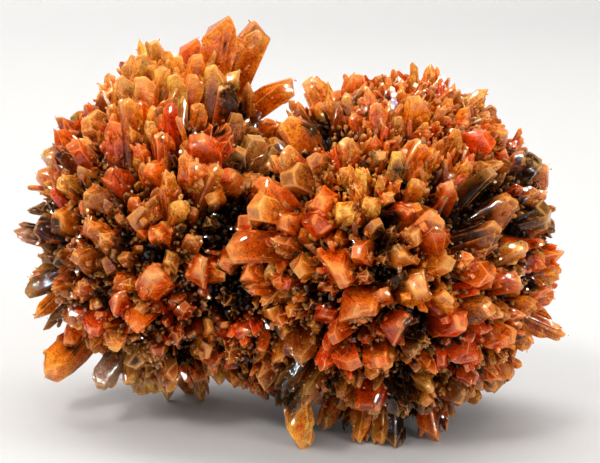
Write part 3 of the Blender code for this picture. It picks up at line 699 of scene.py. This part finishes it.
# one prism of unit width with its tip near the origin; rounded is the steps of its rounded edges, and the
# faces of a rounded one bulge or sink a little in the middle, which is marked as its core
def prismShape(habit, chance, rounded, chanceCuts):
    thickness, rootWidth, facets = habits[habit]
    halfLength, jitter = shapeSettings["halfLength"], shapeSettings["planeJitter"]
    bm = bmesh.new()
    bmesh.ops.create_cone(bm, cap_ends=True, segments=4, radius1=0.5 * rootWidth, radius2=0.5,
                          depth=2 * halfLength)
    bmesh.ops.transform(bm, matrix=Matrix.Rotation(math.radians(prismTurn[habit]), 4, "Z"), verts=bm.verts)
    span = max(vertex.co.x for vertex in bm.verts) * 2
    bmesh.ops.scale(bm, vec=(1 / span, thickness / span, 1), verts=bm.verts)
    bmesh.ops.translate(bm, vec=(0, 0, shapeSettings["overTip"] - halfLength), verts=bm.verts)
    planes = [(height, Vector(facing)) for height, facing in facets]
    heights, leans = shapeSettings["chanceCut"]
    for _ in range(chanceCuts):
        angle = chance.uniform(0, 2 * math.pi)
        facing = Vector((math.cos(angle), math.sin(angle), chance.uniform(*leans)))
        planes.append((chance.uniform(*heights), facing))
    for height, facing in planes:
        cutAway(bm, (0, 0, height), facing + Vector([chance.uniform(-jitter, jitter) for _ in range(3)]))
    for vertex in bm.verts:
        vertex.co += gaussVector(chance, shapeSettings["wobble"])
    if rounded:
        sharpTo = min(vertex.co.z for vertex in bm.verts) + shapeSettings["sharpRoot"]
        free = [edge for edge in bm.edges if max(vertex.co.z for vertex in edge.verts) > sharpTo]
        bmesh.ops.bevel(bm, geom=free, offset=shapeSettings["edgeRound"], offset_type="OFFSET",
                        affect="EDGES", segments=rounded, profile=0.5, material=-1, clamp_overlap=True)
    bmesh.ops.recalc_face_normals(bm, faces=bm.faces)
    plane = bm.faces.layers.int.new("plane")
    wide = []
    for number, face in enumerate(bm.faces):
        thin = face.calc_area() / max(face.calc_perimeter() / 2, 1e-6) < shapeSettings["edgeWidth"]
        face[plane] = -1 if thin else number
        if rounded and not thin:
            wide.append(face)
    core = bm.verts.layers.float.new("core")
    if wide:
        for vertex in bmesh.ops.poke(bm, faces=wide)["verts"]:
            vertex.co += vertex.normal * chance.gauss(0, shapeSettings["hillock"])
            vertex[core] = 1.0
    else:
        for vertex in bm.verts:
            vertex[core] = 0.5
    return bm


# a large crystal: its main prism and the thinner ones that grew along its sides
def clusterShape(habit, chance, mainRounded, sideRounded):
    whole = bmesh.new()
    lean = shapeSettings["sideLean"]
    for index in range(chance.randint(*shapeSettings["sidePrisms"]) + 1):
        prism = prismShape(habit, chance, sideRounded if index else mainRounded, 1)
        if index:
            angle = chance.uniform(0, 2 * math.pi)
            size = chance.uniform(*shapeSettings["sideSize"])
            out = 0.5 - shapeSettings["sideIn"] * size
            aside = Vector((math.cos(angle) * out, math.sin(angle) * out * habits[habit][0],
                            -chance.uniform(*shapeSettings["sideDrop"])))
            tilt = Matrix()
            for axis in "XY":
                tilt = tilt @ Matrix.Rotation(math.radians(chance.uniform(-lean, lean)), 4, axis)
            bmesh.ops.transform(prism, matrix=Matrix.Translation(aside) @ tilt @ Matrix.Scale(size, 4),
                                verts=prism.verts)
        elif mainRounded > 1:
            for height in shapeSettings["rings"]:
                bmesh.ops.bisect_plane(prism, geom=everything(prism), plane_co=(0, 0, height),
                                       plane_no=(0, 0, 1))
        part = meshFrom("prism", prism)
        whole.from_mesh(part)
        bpy.data.meshes.remove(part)
    return whole


# the smallest crystals: a plain square prism with a slanting end
def speckShape(chance):
    halfLength, spans = shapeSettings["halfLength"], shapeSettings["speckEnd"]
    bm = bmesh.new()
    bmesh.ops.create_cone(bm, cap_ends=True, segments=4, radius1=0.4, radius2=0.5, depth=2 * halfLength)
    bmesh.ops.translate(bm, vec=(0, 0, spans[2][1] - halfLength), verts=bm.verts)
    bm.faces.layers.int.new("plane")
    core = bm.verts.layers.float.new("core")
    for vertex in bm.verts:
        if vertex.co.z > 0:
            vertex.co += Vector([chance.uniform(*span) for span in spans])
        vertex[core] = 0.5
    return bm


def pointPlaces(mesh):
    places = np.zeros(len(mesh.vertices) * 3)
    mesh.vertices.foreach_get("co", places)
    return places.reshape(-1, 3)


def takeValues(mesh, name, kind):
    layer = mesh.attributes[name]
    values = np.zeros(len(layer.data), dtype=kind)
    layer.data.foreach_get("value", values)
    mesh.attributes.remove(layer)
    return values


# the shapes of each size and habit, with the numbers that placing their copies needs
def makeShapes():
    chance = random.Random(shapeSettings["seed"])
    shapes = {}
    for habit in habits:
        makers = {
            "large": lambda: clusterShape(habit, chance, 2, 1),
            "middling": lambda: clusterShape(habit, chance, 1, 0),
            "small": lambda: prismShape(habit, chance, 1, 1),
            "grain": lambda: prismShape(habit, chance, 0, 0),
            "speck": lambda: speckShape(chance),
        }
        for size, make in makers.items():
            shapes[size, habit] = []
            for _ in range(shapeSettings["variants"]):
                mesh = meshFrom(habit, make())
                places = pointPlaces(mesh)
                shapes[size, habit].append({
                    "mesh": mesh, "places": places, "roots": places[:, 2] < shapeSettings["rootLine"],
                    "planes": takeValues(mesh, "plane", np.int32),
                    "cores": takeValues(mesh, "core", np.float32),
                })
    return shapes


# how the crystals of a piece differ from one another
variety = {
    "bright": 1.16,
    "brighter": 0.16,        # more or less than that
    "mixed": (0, 0.2),       # share of another tone in a crystal's own
    "mixedTones": ["amber", "orange", "red", "tan"],
    "paler": (0.5, 1.3),
    "apart": 400,            # millimetres between the grain of two crystals, at most
    "facets": 64,            # different face values in a crystal, for each face's painted light and shade
    "edge": 2.0,             # the face value of an edge
    "deepest": 2.0,          # the value of along far down in the heart
    # degrees between two faces from which their edge is sharp
    "sharp": {"large": 30, "middling": 30, "small": 30, "grain": 15, "speck": 15},
}


# adds the copies one after another, then gives every point what its material reads:
# tone, pale (how pale the tip is), along (0 at the tip, 1 where it leaves the heart), grain (place in the
# crystal in millimetres), core (1 in the middle of a face) and soot (black inclusions, and black
# painted as shade in the gaps), and every face a facet value, which paints it lighter or darker as light
# and shade
def makePiece(name, crystals, seed, material):
    chance = random.Random(seed)
    bm = bmesh.new()
    parts = {label: [] for label in ("tone", "pale", "along", "grain", "soot", "core", "facet", "place")}
    for crystal in crystals:
        shape = chance.choice(shapes[crystal["size"], crystal["habit"]])
        axis = crystal["tip"] - crystal["root"]
        length = axis.length
        axis.normalize()
        width, tone = crystal["width"], crystal["tone"]
        local = shape["places"].copy()
        local[shape["roots"], 2] = min(-length / width, -1.0)
        places = local @ np.array(crystalFrame(axis, crystal["turn"])).T * width + np.array(crystal["tip"])
        copy = shape["mesh"].copy()
        copy.vertices.foreach_set("co", places.ravel())
        bm.from_mesh(copy)
        bpy.data.meshes.remove(copy)
        brighter = variety["brighter"]
        shade = crystal.get("dark", variety["bright"]) * paintedShadeAt(crystal["tip"])
        shade *= 1 + chance.uniform(-brighter, brighter)
        # a painted glint is not darkened
        if tone == "glint":
            shade = 1.0
        mixed = chance.uniform(*variety["mixed"])
        other = linearColour(tones[chance.choice(variety["mixedTones"])][0])
        own = linearColour(tones[tone][0])
        colour = [shade * (a * (1 - mixed) + b * mixed) for a, b in zip(own[:3], other[:3])] + [1.0]
        pale = tones[tone][1] * chance.uniform(*variety["paler"])
        # painted glint specks are near white all along, with no root darkening
        if tone == "glint" and crystal["size"] == "speck":
            along = np.zeros(len(local))
        else:
            free = max((crystal["tip"] - crystal["leaves"]).length, 0.5 * width)
            along = np.clip(-local[:, 2] * width / free, 0, variety["deepest"])
        offset = np.array([chance.uniform(-variety["apart"], variety["apart"]) for _ in range(3)])
        facets = np.array([chance.random() for _ in range(variety["facets"])])
        facets = np.where(shape["planes"] < 0, variety["edge"], facets[shape["planes"] % variety["facets"]])
        values = {
            "tone": np.tile(colour, (len(local), 1)), "pale": np.full(len(local), pale), "along": along,
            "grain": local * width / mm + offset, "soot": np.full(len(local), crystal.get("soot", 0.0)),
            "core": shape["cores"], "facet": facets, "place": places,
        }
        for label, part in values.items():
            parts[label].append(part)
    values = {label: np.concatenate(part) for label, part in parts.items()}
    values["soot"] = np.maximum(oxideAndShadeAt(values.pop("place")), values["soot"])
    mesh = meshFrom(name, bm)
    setValues(mesh, values)
    placePiece(name, mesh, material, variety["sharp"][crystals[0]["size"]])


def setValues(mesh, values):
    kinds = {"tone": ("FLOAT_COLOR", "color"), "grain": ("FLOAT_VECTOR", "vector")}
    for name, numbers in values.items():
        kind, field = kinds.get(name, ("FLOAT", "value"))
        layer = mesh.attributes.new(name, kind, "FACE" if name == "facet" else "POINT")
        layer.data.foreach_set(field, np.asarray(numbers, dtype=np.float32).ravel())


# cuts off what is under the floor, moves the piece to its place and ties it to the frame
def placePiece(name, mesh, material, sharp):
    if min(vertex.co.z for vertex in mesh.vertices) < 0:
        bm = bmesh.new()
        bm.from_mesh(mesh)
        cutAway(bm, (0, 0, 0), (0, 0, -1))
        bm.to_mesh(mesh)
        bm.free()
    mesh.transform(Matrix.Translation(centringShift))
    mesh.shade_smooth()
    mesh.set_sharp_from_angle(angle=math.radians(sharp))
    mesh.materials.append(material)
    piece = bpy.data.objects.new(name, mesh)
    bpy.context.scene.collection.objects.link(piece)
    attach(piece, "root")
    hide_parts("creedite_cluster")


# links name a socket, or a node whose first output in use is meant
def addNode(tree, kind, settings=None, links=None):
    node = tree.nodes.new("ShaderNode" + kind)
    for name, value in (settings or {}).items():
        if name == "stops":
            while len(node.color_ramp.elements) < len(value):
                node.color_ramp.elements.new(0.5)
            for element, (position, colour) in zip(node.color_ramp.elements, value):
                element.position = position
                element.color = (*colour, 1) if isinstance(colour, tuple) else (colour, colour, colour, 1)
        elif isinstance(name, int) or name in node.inputs:
            node.inputs[name].default_value = value
        else:
            setattr(node, name, value)
    for name, source in (links or {}).items():
        if isinstance(source, bpy.types.Node):
            source = next(output for output in source.outputs if output.enabled)
        tree.links.new(source, node.inputs[name])
    return node


creediteLook = {
    "ior": 1.47,             # creedite's middle index
    "transmission": 0.25,
    "subsurface": 0.55,
    "subsurfaceRadius": (1.0, 0.34, 0.12),
    "subsurfaceScale": 0.9 * mm,
    "roughness": (0.02, 0.06),
    "mirroring": (0.5, 0.15),   # specular level of clean faces and of black oxide
    "mottleSize": 1.3,          # millimetres
    "streakWidth": 0.45,        # millimetres, growth lines along the crystal
    "streakStretch": 0.12,      # their width as a share of their length
    "pitSize": 0.36,            # millimetres, fine unevenness of the faces
    "relief": (0.18 * mm, 0.06 * mm, 0.03 * mm),  # height of the mottles, streaks and pits
    "edge": ("#F6B266", 0.42),  # the thin rounded edges are painted paler by this share, partly for their thinness, partly as a painted highlight and glow
    "tip": "#F2B262",
    # the black of the oxide inclusions and of the painted shade in the gaps
    "soot": "#1A120C",
    "oxideAndShadeLevel": (1.05, 1.4, 0.94),  # where the black starts, where it is full, and how black it is then
    "pepper": (0.9, 0.7),        # how much the mottles and the pits break it up
    "inFace": (0.7, 0.6),        # how far into a face it is at its blackest, and its share at the edge
    "streakBreak": 0.35,         # and the streaks the pale tips
    "mottleDepth": 0.7,          # and the mottles the deep middle of a face
    # brightness or colour by place on a ramp: inside the crystal, in its grain, towards the middle of a
    # face, from one face to the next as painted light and shade, and from the tip to the root, deep red and
    # then painted shade near the heart
    "uneven": [(0.34, (0.7, 0.46, 0.28)), (0.5, (1.0, 0.92, 0.8)), (0.64, (1.3, 1.45, 1.3))],
    "grainy": [(0.34, 0.35), (0.41, 0.85), (0.52, 1.0), (0.66, 1.4)],
    "deeper": [(0.3, (1.18, 1.3, 1.3)), (0.6, (1.0, 0.92, 0.82)), (1.0, (0.85, 0.48, 0.26))],
    "faces": [(0.0, 0.66), (0.55, 1.0), (1.0, 1.3)],
    "tipped": [(0.16, 1.0), (0.32, 0.5), (0.52, 0.0)],
    "rooted": [(0.12, (1.0, 1.0, 1.0)), (0.4, (0.66, 0.46, 0.34)), (0.6, (0.2, 0.12, 0.07))],
}


# creedite crystals with their natural growth faces: glassy, see-through at the pale tips and glowing orange
# deeper in, with fine lines along them, black specks of manganese oxide, painted shade at the roots and in
# the gaps, painted light and shade from face to face, and a painted highlight on the edges
def creediteMaterial(name, look):
    material = bpy.data.materials.new(name)
    material.use_nodes = True
    tree = material.node_tree
    tree.nodes.clear()
    read = {}
    for label in ("tone", "pale", "along", "grain", "soot", "core", "facet"):
        output = {"tone": "Color", "grain": "Vector"}.get(label, "Fac")
        read[label] = addNode(tree, "Attribute", {"attribute_name": label}).outputs[output]
    mottle = addNode(tree, "TexNoise", {"Scale": 1 / look["mottleSize"], "Detail": 2.0},
                     {"Vector": read["grain"]})
    thin = 1 / look["streakWidth"]
    lengthwise = addNode(tree, "Mapping",
                         {"Scale": (thin, thin, look["streakStretch"] / look["streakWidth"])},
                         {"Vector": read["grain"]})
    streaks = addNode(tree, "TexNoise", {"Scale": 1.0, "Detail": 2.0}, {"Vector": lengthwise})
    pits = addNode(tree, "TexNoise", {"Scale": 1 / look["pitSize"], "Detail": 3.0},
                   {"Vector": read["grain"]})

    # body: the tone, uneven inside, deeper and redder in the middle of a face, each face painted lighter or
    # darker as light and shade
    depth = addNode(tree, "Math", {"operation": "MULTIPLY_ADD", 1: look["mottleDepth"]},
                    {0: mottle, 2: read["core"]})
    multiply = {"data_type": "RGBA", "blend_type": "MULTIPLY", 0: 1.0}
    body = read["tone"]
    facet = read["facet"]
    for source, stops in ((mottle, "uneven"), (pits, "grainy"), (depth, "deeper"), (facet, "faces")):
        ramp = addNode(tree, "ValToRGB", {"stops": look[stops]}, {"Fac": source})
        body = addNode(tree, "Mix", multiply, {6: body, 7: ramp})

    # the rounded edges are painted paler, partly for their thinness and partly as a painted highlight and
    # glow
    isEdge = addNode(tree, "Math", {"operation": "GREATER_THAN", 1: variety["edge"] - 0.5}, {0: facet})
    edgeHighlightShare = addNode(tree, "Math", {"operation": "MULTIPLY", 1: look["edge"][1]}, {0: isEdge})

    # tips are paler, and the streaks break up where that ends
    tipReach = addNode(tree, "Math", {"operation": "MULTIPLY_ADD", 1: look["streakBreak"]},
                       {0: streaks, 2: read["along"]})
    tipShare = addNode(tree, "ValToRGB", {"stops": look["tipped"]}, {"Fac": tipReach})
    tipShare = addNode(tree, "Math", {"operation": "MULTIPLY", "use_clamp": True},
                       {0: tipShare, 1: read["pale"]})
    for share, colour in ((edgeHighlightShare, look["edge"][0]), (tipShare, look["tip"])):
        body = addNode(tree, "Mix", {"data_type": "RGBA", 7: linearColour(colour)},
                       {0: share, 6: body})

    # towards the root the colour goes deep red, then dark brown near the heart as painted shade
    downward = addNode(tree, "Math", {"operation": "DIVIDE", 1: variety["deepest"]}, {0: read["along"]})
    rootToneAndShade = addNode(tree, "ValToRGB", {"stops": look["rooted"]}, {"Fac": downward})
    rooted = addNode(tree, "Mix", multiply, {6: body, 7: rootToneAndShade})

    # black inclusions, and black painted as shade in the gaps, most of them away from the edges, peppered
    # where they end
    inside = addNode(tree, "MapRange", {"From Max": look["inFace"][0], "To Min": look["inFace"][1]},
                     {"Value": read["core"]})
    oxideAndShadeLevel = addNode(tree, "Math", {"operation": "MULTIPLY"}, {0: read["soot"], 1: inside})
    for source, share in zip((mottle, pits), look["pepper"]):
        oxideAndShadeLevel = addNode(tree, "Math", {"operation": "MULTIPLY_ADD", 1: share},
                        {0: source, 2: oxideAndShadeLevel})
    start, full, most = look["oxideAndShadeLevel"]
    oxideAndShadeShare = addNode(tree, "MapRange", {"From Min": start, "From Max": full, "To Max": most},
                        {"Value": oxideAndShadeLevel})
    coloured = addNode(tree, "Mix", {"data_type": "RGBA", 7: linearColour(look["soot"])},
                       {0: oxideAndShadeShare, 6: rooted})

    rough = addNode(tree, "MapRange",
                    {"To Min": look["roughness"][0], "To Max": look["roughness"][1]}, {"Value": mottle})
    mirroring = addNode(tree, "MapRange",
                        {"To Min": look["mirroring"][0], "To Max": look["mirroring"][1]},
                        {"Value": oxideAndShadeShare})
    relief = None
    for source, height in zip((mottle, streaks, pits), look["relief"]):
        links = {"Height": source, "Normal": relief} if relief else {"Height": source}
        relief = addNode(tree, "Bump", {"Strength": 0.5, "Distance": height}, links)
    surface = addNode(tree, "BsdfPrincipled", {
        "IOR": look["ior"],
        "Transmission Weight": look["transmission"],
        "Subsurface Weight": look["subsurface"],
        "Subsurface Radius": look["subsurfaceRadius"],
        "Subsurface Scale": look["subsurfaceScale"],
    }, {"Base Color": coloured, "Roughness": rough, "Specular IOR Level": mirroring, "Normal": relief})
    addNode(tree, "OutputMaterial", None, {"Surface": surface})
    return material


# small crystals that grow out of the sides of the large ones
sideSettings = {
    "seed": 11,
    "count": (1, 5),           # on each large crystal
    "width": (0.16, 0.34),     # of the crystal they grow on
    "lean": (12, 42),          # degrees away from it
    "along": (0.35, 0.95),     # between its tip and the heart
    "out": (0.9, 2.0),         # how far they stand out, in widths
    "onFace": (0.5, 0.8),      # half the large one's width, and how near to its face they start
    "length": 2.2,             # in widths
    "habits": ["spear", "block", "chisel"],
    "size": "small",
}

# specks of clear crystal that sit on the faces of the large ones, coloured near white as painted glints
glitterSettings = {
    "seed": 12,
    "count": (5, 13),
    "width": (0.12, 0.32),     # millimetres
    "lean": (25, 85),
    "along": (0.0, 0.9),
    "out": (0.3, 1.4),
    "onFace": (0.42, 0.15),    # nearer to the axis at the tip, from this share of the width
    "length": 2.2,
    "habits": ["block"],
    "size": "speck",
}


def planOnSides(mainCrystals, settings):
    chance = random.Random(settings["seed"])
    specks = settings["size"] == "speck"
    planned = []
    for crystal in mainCrystals:
        if crystal["tone"] == "clear" and not specks:
            continue
        axis = (crystal["tip"] - crystal["root"]).normalized()
        side = crystalFrame(axis, crystal["turn"])
        free = (crystal["tip"] - crystal["leaves"]).length
        for _ in range(chance.randint(*settings["count"])):
            angle = chance.uniform(0, 2 * math.pi)
            out = side @ Vector((math.cos(angle), math.sin(angle), 0))
            width = chance.uniform(*settings["width"]) * (mm if specks else crystal["width"])
            lean = math.radians(chance.uniform(*settings["lean"]))
            down = free * chance.uniform(*settings["along"])
            direction = axis * math.cos(lean) + out * math.sin(lean)
            half, share = settings["onFace"]
            if specks:
                toFace = out * (half * crystal["width"] * min(1.0, share + down / crystal["width"]))
            else:
                thickness = math.sin(angle) * habits[crystal["habit"]][0]
                toFace = out * (half * crystal["width"] * math.hypot(math.cos(angle), thickness)) * share
            tip = crystal["tip"] - axis * down + toFace
            tip += direction * width * chance.uniform(*settings["out"])
            root = tip - direction * width * settings["length"]
            planned.append({
                "lobe": crystal["lobe"], "tip": tip, "root": root, "leaves": root, "width": width,
                "turn": chance.uniform(0, 90),
                "habit": settings["habits"][0] if specks else chance.choice(settings["habits"]),
                "tone": "glint" if specks else crystal["tone"], "size": settings["size"],
            })
    return planned


# crystals spread over the lobes: how many, width in millimetres, reach, how unevenly they lean, brightness
# (lower for the deeper ones, as painted shade in the gaps and dark druse), share of ones coloured near
# white as painted glints, and where needed the zone that they keep to
fields = {
    "middling": {"seed": 20, "count": 560, "width": (2.8, 4.8), "reach": (0.91, 1.0), "tilt": 0.1,
                 "size": "middling", "dark": 1.1, "glints": 0.0},
    "medium": {"seed": 21, "count": 900, "width": (1.7, 3.0), "reach": (0.87, 0.96), "tilt": 0.225,
               "size": "small", "dark": 0.65, "glints": 0.0},
    "fine": {"seed": 22, "count": 4200, "width": (0.6, 1.4), "reach": (0.85, 0.93), "tilt": 0.4,
             "size": "grain", "dark": 0.28, "glints": 0.03},
    "druse": {"seed": 23, "count": 5200, "width": (0.45, 1.0), "reach": (0.835, 0.89), "tilt": 0.5,
              "size": "speck", "dark": 0.14, "glints": 0.03},
    "crown": {"seed": 26, "count": 4200, "width": (1.2, 2.8), "reach": (0.94, 1.06), "tilt": 0.3,
              "size": "small", "dark": 1.15, "glints": 0.03, "zone": (-31, 29, 9)},
    "top": {"seed": 25, "count": 3600, "width": (0.9, 2.2), "reach": (0.9, 0.99), "tilt": 0.45,
            "size": "small", "dark": 0.95, "glints": 0.07, "zone": (24, 25, 13)},
}
fieldSettings = {
    "jitter": 0.02,         # unevenness of the spacing
    "finer": (0.06, 1.0),   # how much further out the finer, brighter druse reaches, and its brightness
    "glintWidth": 0.4,
    "gap": (0.1, 0.8),      # brightness and black of the small crystals in the deep gaps, painted shade as well as black druse
    "sunkReach": 0.9,       # in the neck, tips under this share of another lobe's reach are left out
    "leastFacing": 0.6,     # a crystal that leans more than this is turned back outwards
    "turnBack": 1.2,
    "sunkRoot": 0.06,
    "oxideAndShadePatch": (5 * mm, 2.2, 0.1, 0.75),  # size, contrast, base and strength of black patches on the deeper crystals, oxide and painted shade
    "oxideAndShadePatchedBelow": 0.9,         # crystals darker than this have them
}


def oxideAndShadePatchAt(place):
    size, contrast, base, strength = fieldSettings["oxideAndShadePatch"]
    return strength * min(1.0, max(0.0, contrast * noise.noise(place / size) + base))


def planField(settings):
    chance = random.Random(settings["seed"])
    size, fineDepth = settings["size"], zoneSettings["fineDepth"]
    planned = []
    for lobe in lobes:
        centre, reach = lobe
        share = (reach.x * reach.z) / (rightLobe[1].x * rightLobe[1].z)
        for direction in evenDirections(round(settings["count"] * share)):
            width = chance.uniform(*settings["width"]) * mm
            stretch = chance.uniform(*settings["reach"])
            leaning = gaussVector(chance, 1) * settings["tilt"]
            turn = chance.uniform(0, 90)
            habit = chance.choice(growth["habits"])
            tip = centre + (direction + gaussVector(chance, fieldSettings["jitter"])) * reach * stretch
            if insideOthers(tip, lobe, min(stretch, fieldSettings["sunkReach"])) or tip.z < width:
                continue
            gap = inZones(tip, gapZones, zoneSettings["gapDepth"])
            if gap and size in ("middling", "small"):
                continue
            if size == "middling" and inZones(tip, [fields["top"]["zone"]], fineDepth):
                continue
            if "zone" in settings and not inZones(tip, [settings["zone"]], fineDepth):
                continue
            dark = settings["dark"]
            if size in ("grain", "speck") and not gap and inZones(tip, fineZones, fineDepth):
                raised, dark = fieldSettings["finer"]
                tip += (tip - centre) * raised
            # some of the small crystals are coloured near white as painted glints
            glint = chance.random() < settings["glints"] and not gap
            if glint:
                width *= fieldSettings["glintWidth"]
            elif gap:
                dark = fieldSettings["gap"][0]
            axis = (splayed(direction, tip, lobe, chance) + leaning).normalized()
            if axis.dot(direction) < fieldSettings["leastFacing"]:
                axis = (axis + direction * fieldSettings["turnBack"]).normalized()
            length = (stretch - heartShare + fieldSettings["sunkRoot"]) * reach.x + width
            # black in the deep gaps and in the patches on the deeper crystals is painted shade as well as
            # black druse
            soot = 0.0
            if gap:
                soot = fieldSettings["gap"][1]
            elif dark < fieldSettings["oxideAndShadePatchedBelow"]:
                soot = oxideAndShadePatchAt(tip)
            planned.append({
                "lobe": lobe, "tip": tip, "root": tip - axis * length,
                "leaves": centre + (tip - centre) * (heartShare / stretch), "width": width, "turn": turn,
                "habit": habit, "size": size, "tone": "glint" if glint else pickTone(tip, chance),
                "dark": dark, "soot": soot,
            })
    return planned


# the heart's dark brown and its black are painted shade in the gaps as well as dark druse
heartSettings = {
    "subdivisions": 5, "share": 0.815, "bumps": 0.9 * mm, "bumpSize": 2.2 * mm, "colour": "#5A2A12",
    "along": 1.2,  # as deep in as the roots, so it takes the darkest painted shade of the root ramp
    "soot": 0.3, "core": 0.5, "seed": 5, "sharp": 30,
}


# the solid inside of the lobes, knobbly with the smallest crystals, seen only between the larger ones
def makeHeart(material):
    bm = bmesh.new()
    for centre, reach in lobes:
        made = bmesh.ops.create_icosphere(bm, subdivisions=heartSettings["subdivisions"], radius=1.0)
        place = Matrix.Translation(centre) @ Matrix.Diagonal((*(reach * heartSettings["share"]), 1))
        bmesh.ops.transform(bm, matrix=place, verts=made["verts"])
        for vertex in made["verts"]:
            bump = noise.cell(vertex.co / heartSettings["bumpSize"]) - 0.5
            bump += noise.noise(vertex.co / (2 * heartSettings["bumpSize"]))
            vertex.co += (vertex.co - centre).normalized() * bump * heartSettings["bumps"]
    mesh = meshFrom("heart", bm)
    places = pointPlaces(mesh)
    count = len(places)
    setValues(mesh, {
        "tone": np.tile(linearColour(heartSettings["colour"]), (count, 1)), "pale": np.zeros(count),
        "along": np.full(count, heartSettings["along"]), "grain": places / mm,
        "soot": np.maximum(oxideAndShadeAt(places), heartSettings["soot"]),
        "core": np.full(count, heartSettings["core"]),
        "facet": np.random.default_rng(heartSettings["seed"]).random(len(mesh.polygons)),
    })
    placePiece("druse_heart", mesh, material, heartSettings["sharp"])


creedite = creediteMaterial("creedite_grown_faces", creediteLook)
clearCreedite = creediteMaterial("creedite_clear_grown_faces", {
    **creediteLook, "transmission": 0.4, "subsurface": 0.2, "roughness": (0.02, 0.1),
})
shapes = makeShapes()
print("shapes made")

mainCrystals = planMain()
splayMain(mainCrystals)
groups = {"crystals_left": [], "crystals_right": [], "clear_crystals": []}
for crystal in mainCrystals:
    crystal["size"] = "large" if crystal["width"] > growth["large"] else "small"
    if crystal["lobe"] is not leftLobe:
        groups["crystals_right"].append(crystal)
    else:
        groups["clear_crystals" if crystal["tone"] == "clear" else "crystals_left"].append(crystal)
makePiece("crystals_left", groups["crystals_left"], 101, creedite)
makePiece("crystals_right", groups["crystals_right"], 102, creedite)
makePiece("clear_crystals", groups["clear_crystals"], 104, clearCreedite)
print("large crystals grown:", len(mainCrystals))

smallOnes = planOnSides(mainCrystals, sideSettings)
makePiece("side_crystals", smallOnes, 103, creedite)
print("side crystals grown:", len(smallOnes))

glitter = planOnSides(mainCrystals, glitterSettings)
makePiece("glitter_crystals", glitter, 105, clearCreedite)
print("glittering crystals grown:", len(glitter))

for label, settings in fields.items():
    grown = planField(settings)
    makePiece(label + "_crystals", grown, settings["seed"] + 100, creedite)
    print(label, "crystals grown:", len(grown))

makeHeart(creedite)
print("heart made")


def addCamera():
    data = bpy.data.cameras.new("viewer")
    data.lens = viewer["lens"]
    data.sensor_width = viewer["sensor"]
    data.clip_start = viewer["nearest"]
    camera = bpy.data.objects.new("viewer", data)
    camera.location = target + centringShift - inwards * viewer["distance"]
    camera.rotation_euler = inwards.to_track_quat("-Z", "Y").to_euler()
    bpy.context.scene.collection.objects.link(camera)
    bpy.context.scene.camera = camera


middle = Vector((0, 0, 0.035))
studio = {
    "floorColour": "#B4B4B4",
    "floorRoughness": 0.9,
    "floorWidth": 3.0,
    "floorFront": -1.2,
    "bendStart": 0.9,
    "bendRadius": 0.5,
    "bendSteps": 24,
    "wallHeight": 1.6,
    "world": ("#F4F5F6", 0.6),
    # place, width and depth in metres, watts, colour, and what it points at
    "lights": {
        "key": ((0.1, 0.25, 1.5), (1.6, 0.6), 21.5, "#FFFBF6", middle),
        "left": ((-0.6, -0.8, 1.3), (0.35, 0.35), 13.0, "#FFF8F0", middle),
        "right": ((0.9, -0.8, 0.45), (0.5, 0.5), 5.5, "#F8F8F8", middle),
        "backdrop": ((-1.0, 1.0, 1.3), (0.8, 0.8), 17.0, "#FFFFFF", Vector((0, 0.9, 0.1))),
    },
    # small lamps that are seen only as glints on the crystals
    "glint": ((0.05, 0.05), 19.0, "#FFFFFF", middle),
    "glintPlaces": [(-0.3, -0.9, 1.0), (0.25, -1.0, 0.9), (0.5, -0.5, 1.2), (-0.9, -0.4, 1.0),
                    (0.0, -0.4, 1.5), (-0.6, -1.0, 0.6), (0.8, -0.9, 0.6), (-0.5, -0.3, 1.4),
                    (1.1, 0.0, 0.9)],
}


def addFloor():
    bm = bmesh.new()
    half = studio["floorWidth"] / 2
    start = bm.verts.new((-half, studio["floorFront"], 0))
    turnPoint = bm.verts.new((-half, studio["bendStart"], 0))
    bm.edges.new((start, turnPoint))
    bmesh.ops.spin(bm, geom=[turnPoint], cent=(-half, studio["bendStart"], studio["bendRadius"]),
                   axis=(1, 0, 0), angle=math.radians(90), steps=studio["bendSteps"],
                   use_merge=False)
    top = max(bm.verts, key=lambda vertex: vertex.co.z + vertex.co.y)
    raised = bmesh.ops.extrude_vert_indiv(bm, verts=[top])
    bmesh.ops.translate(bm, vec=(0, 0, studio["wallHeight"]), verts=raised["verts"])
    swept = bmesh.ops.extrude_edge_only(bm, edges=bm.edges[:])
    moved = [item for item in swept["geom"] if isinstance(item, bmesh.types.BMVert)]
    bmesh.ops.translate(bm, vec=(2 * half, 0, 0), verts=moved)
    bmesh.ops.recalc_face_normals(bm, faces=bm.faces)
    mesh = meshFrom("floor", bm)
    mesh.shade_smooth()
    paper = bpy.data.materials.new("paper_matte_sheet")  # seamless paper, without shine
    paper.use_nodes = True
    surface = paper.node_tree.nodes["Principled BSDF"]
    surface.inputs["Base Color"].default_value = linearColour(studio["floorColour"])
    surface.inputs["Roughness"].default_value = studio["floorRoughness"]
    mesh.materials.append(paper)
    floor = bpy.data.objects.new("floor", mesh)
    bpy.context.scene.collection.objects.link(floor)


def addLamp(name, place, size, watts, colour, aim):
    data = bpy.data.lights.new(name, "AREA")
    data.shape = "RECTANGLE"
    data.size, data.size_y = size
    data.energy = watts
    data.color = linearColour(colour)[:3]
    lamp = bpy.data.objects.new(name, data)
    lamp.location = place
    lamp.rotation_euler = (aim - Vector(place)).to_track_quat("-Z", "Y").to_euler()
    bpy.context.scene.collection.objects.link(lamp)
    return lamp


def addLights():
    for name, settings in studio["lights"].items():
        addLamp(name, *settings).visible_glossy = False
    for place in studio["glintPlaces"]:
        addLamp("glint", place, *studio["glint"]).visible_diffuse = False
    world = bpy.data.worlds.new("studio")
    world.use_nodes = True
    backing = world.node_tree.nodes["Background"]
    colour, strength = studio["world"]
    backing.inputs["Color"].default_value = linearColour(colour)
    backing.inputs["Strength"].default_value = strength
    bpy.context.scene.world = world
    world.cycles_visibility.glossy = False


addCamera()
addFloor()
addLights()
bpy.context.scene.view_settings.view_transform = "Standard"
bpy.context.scene.view_settings.look = "None"
print("camera, floor and lights placed")
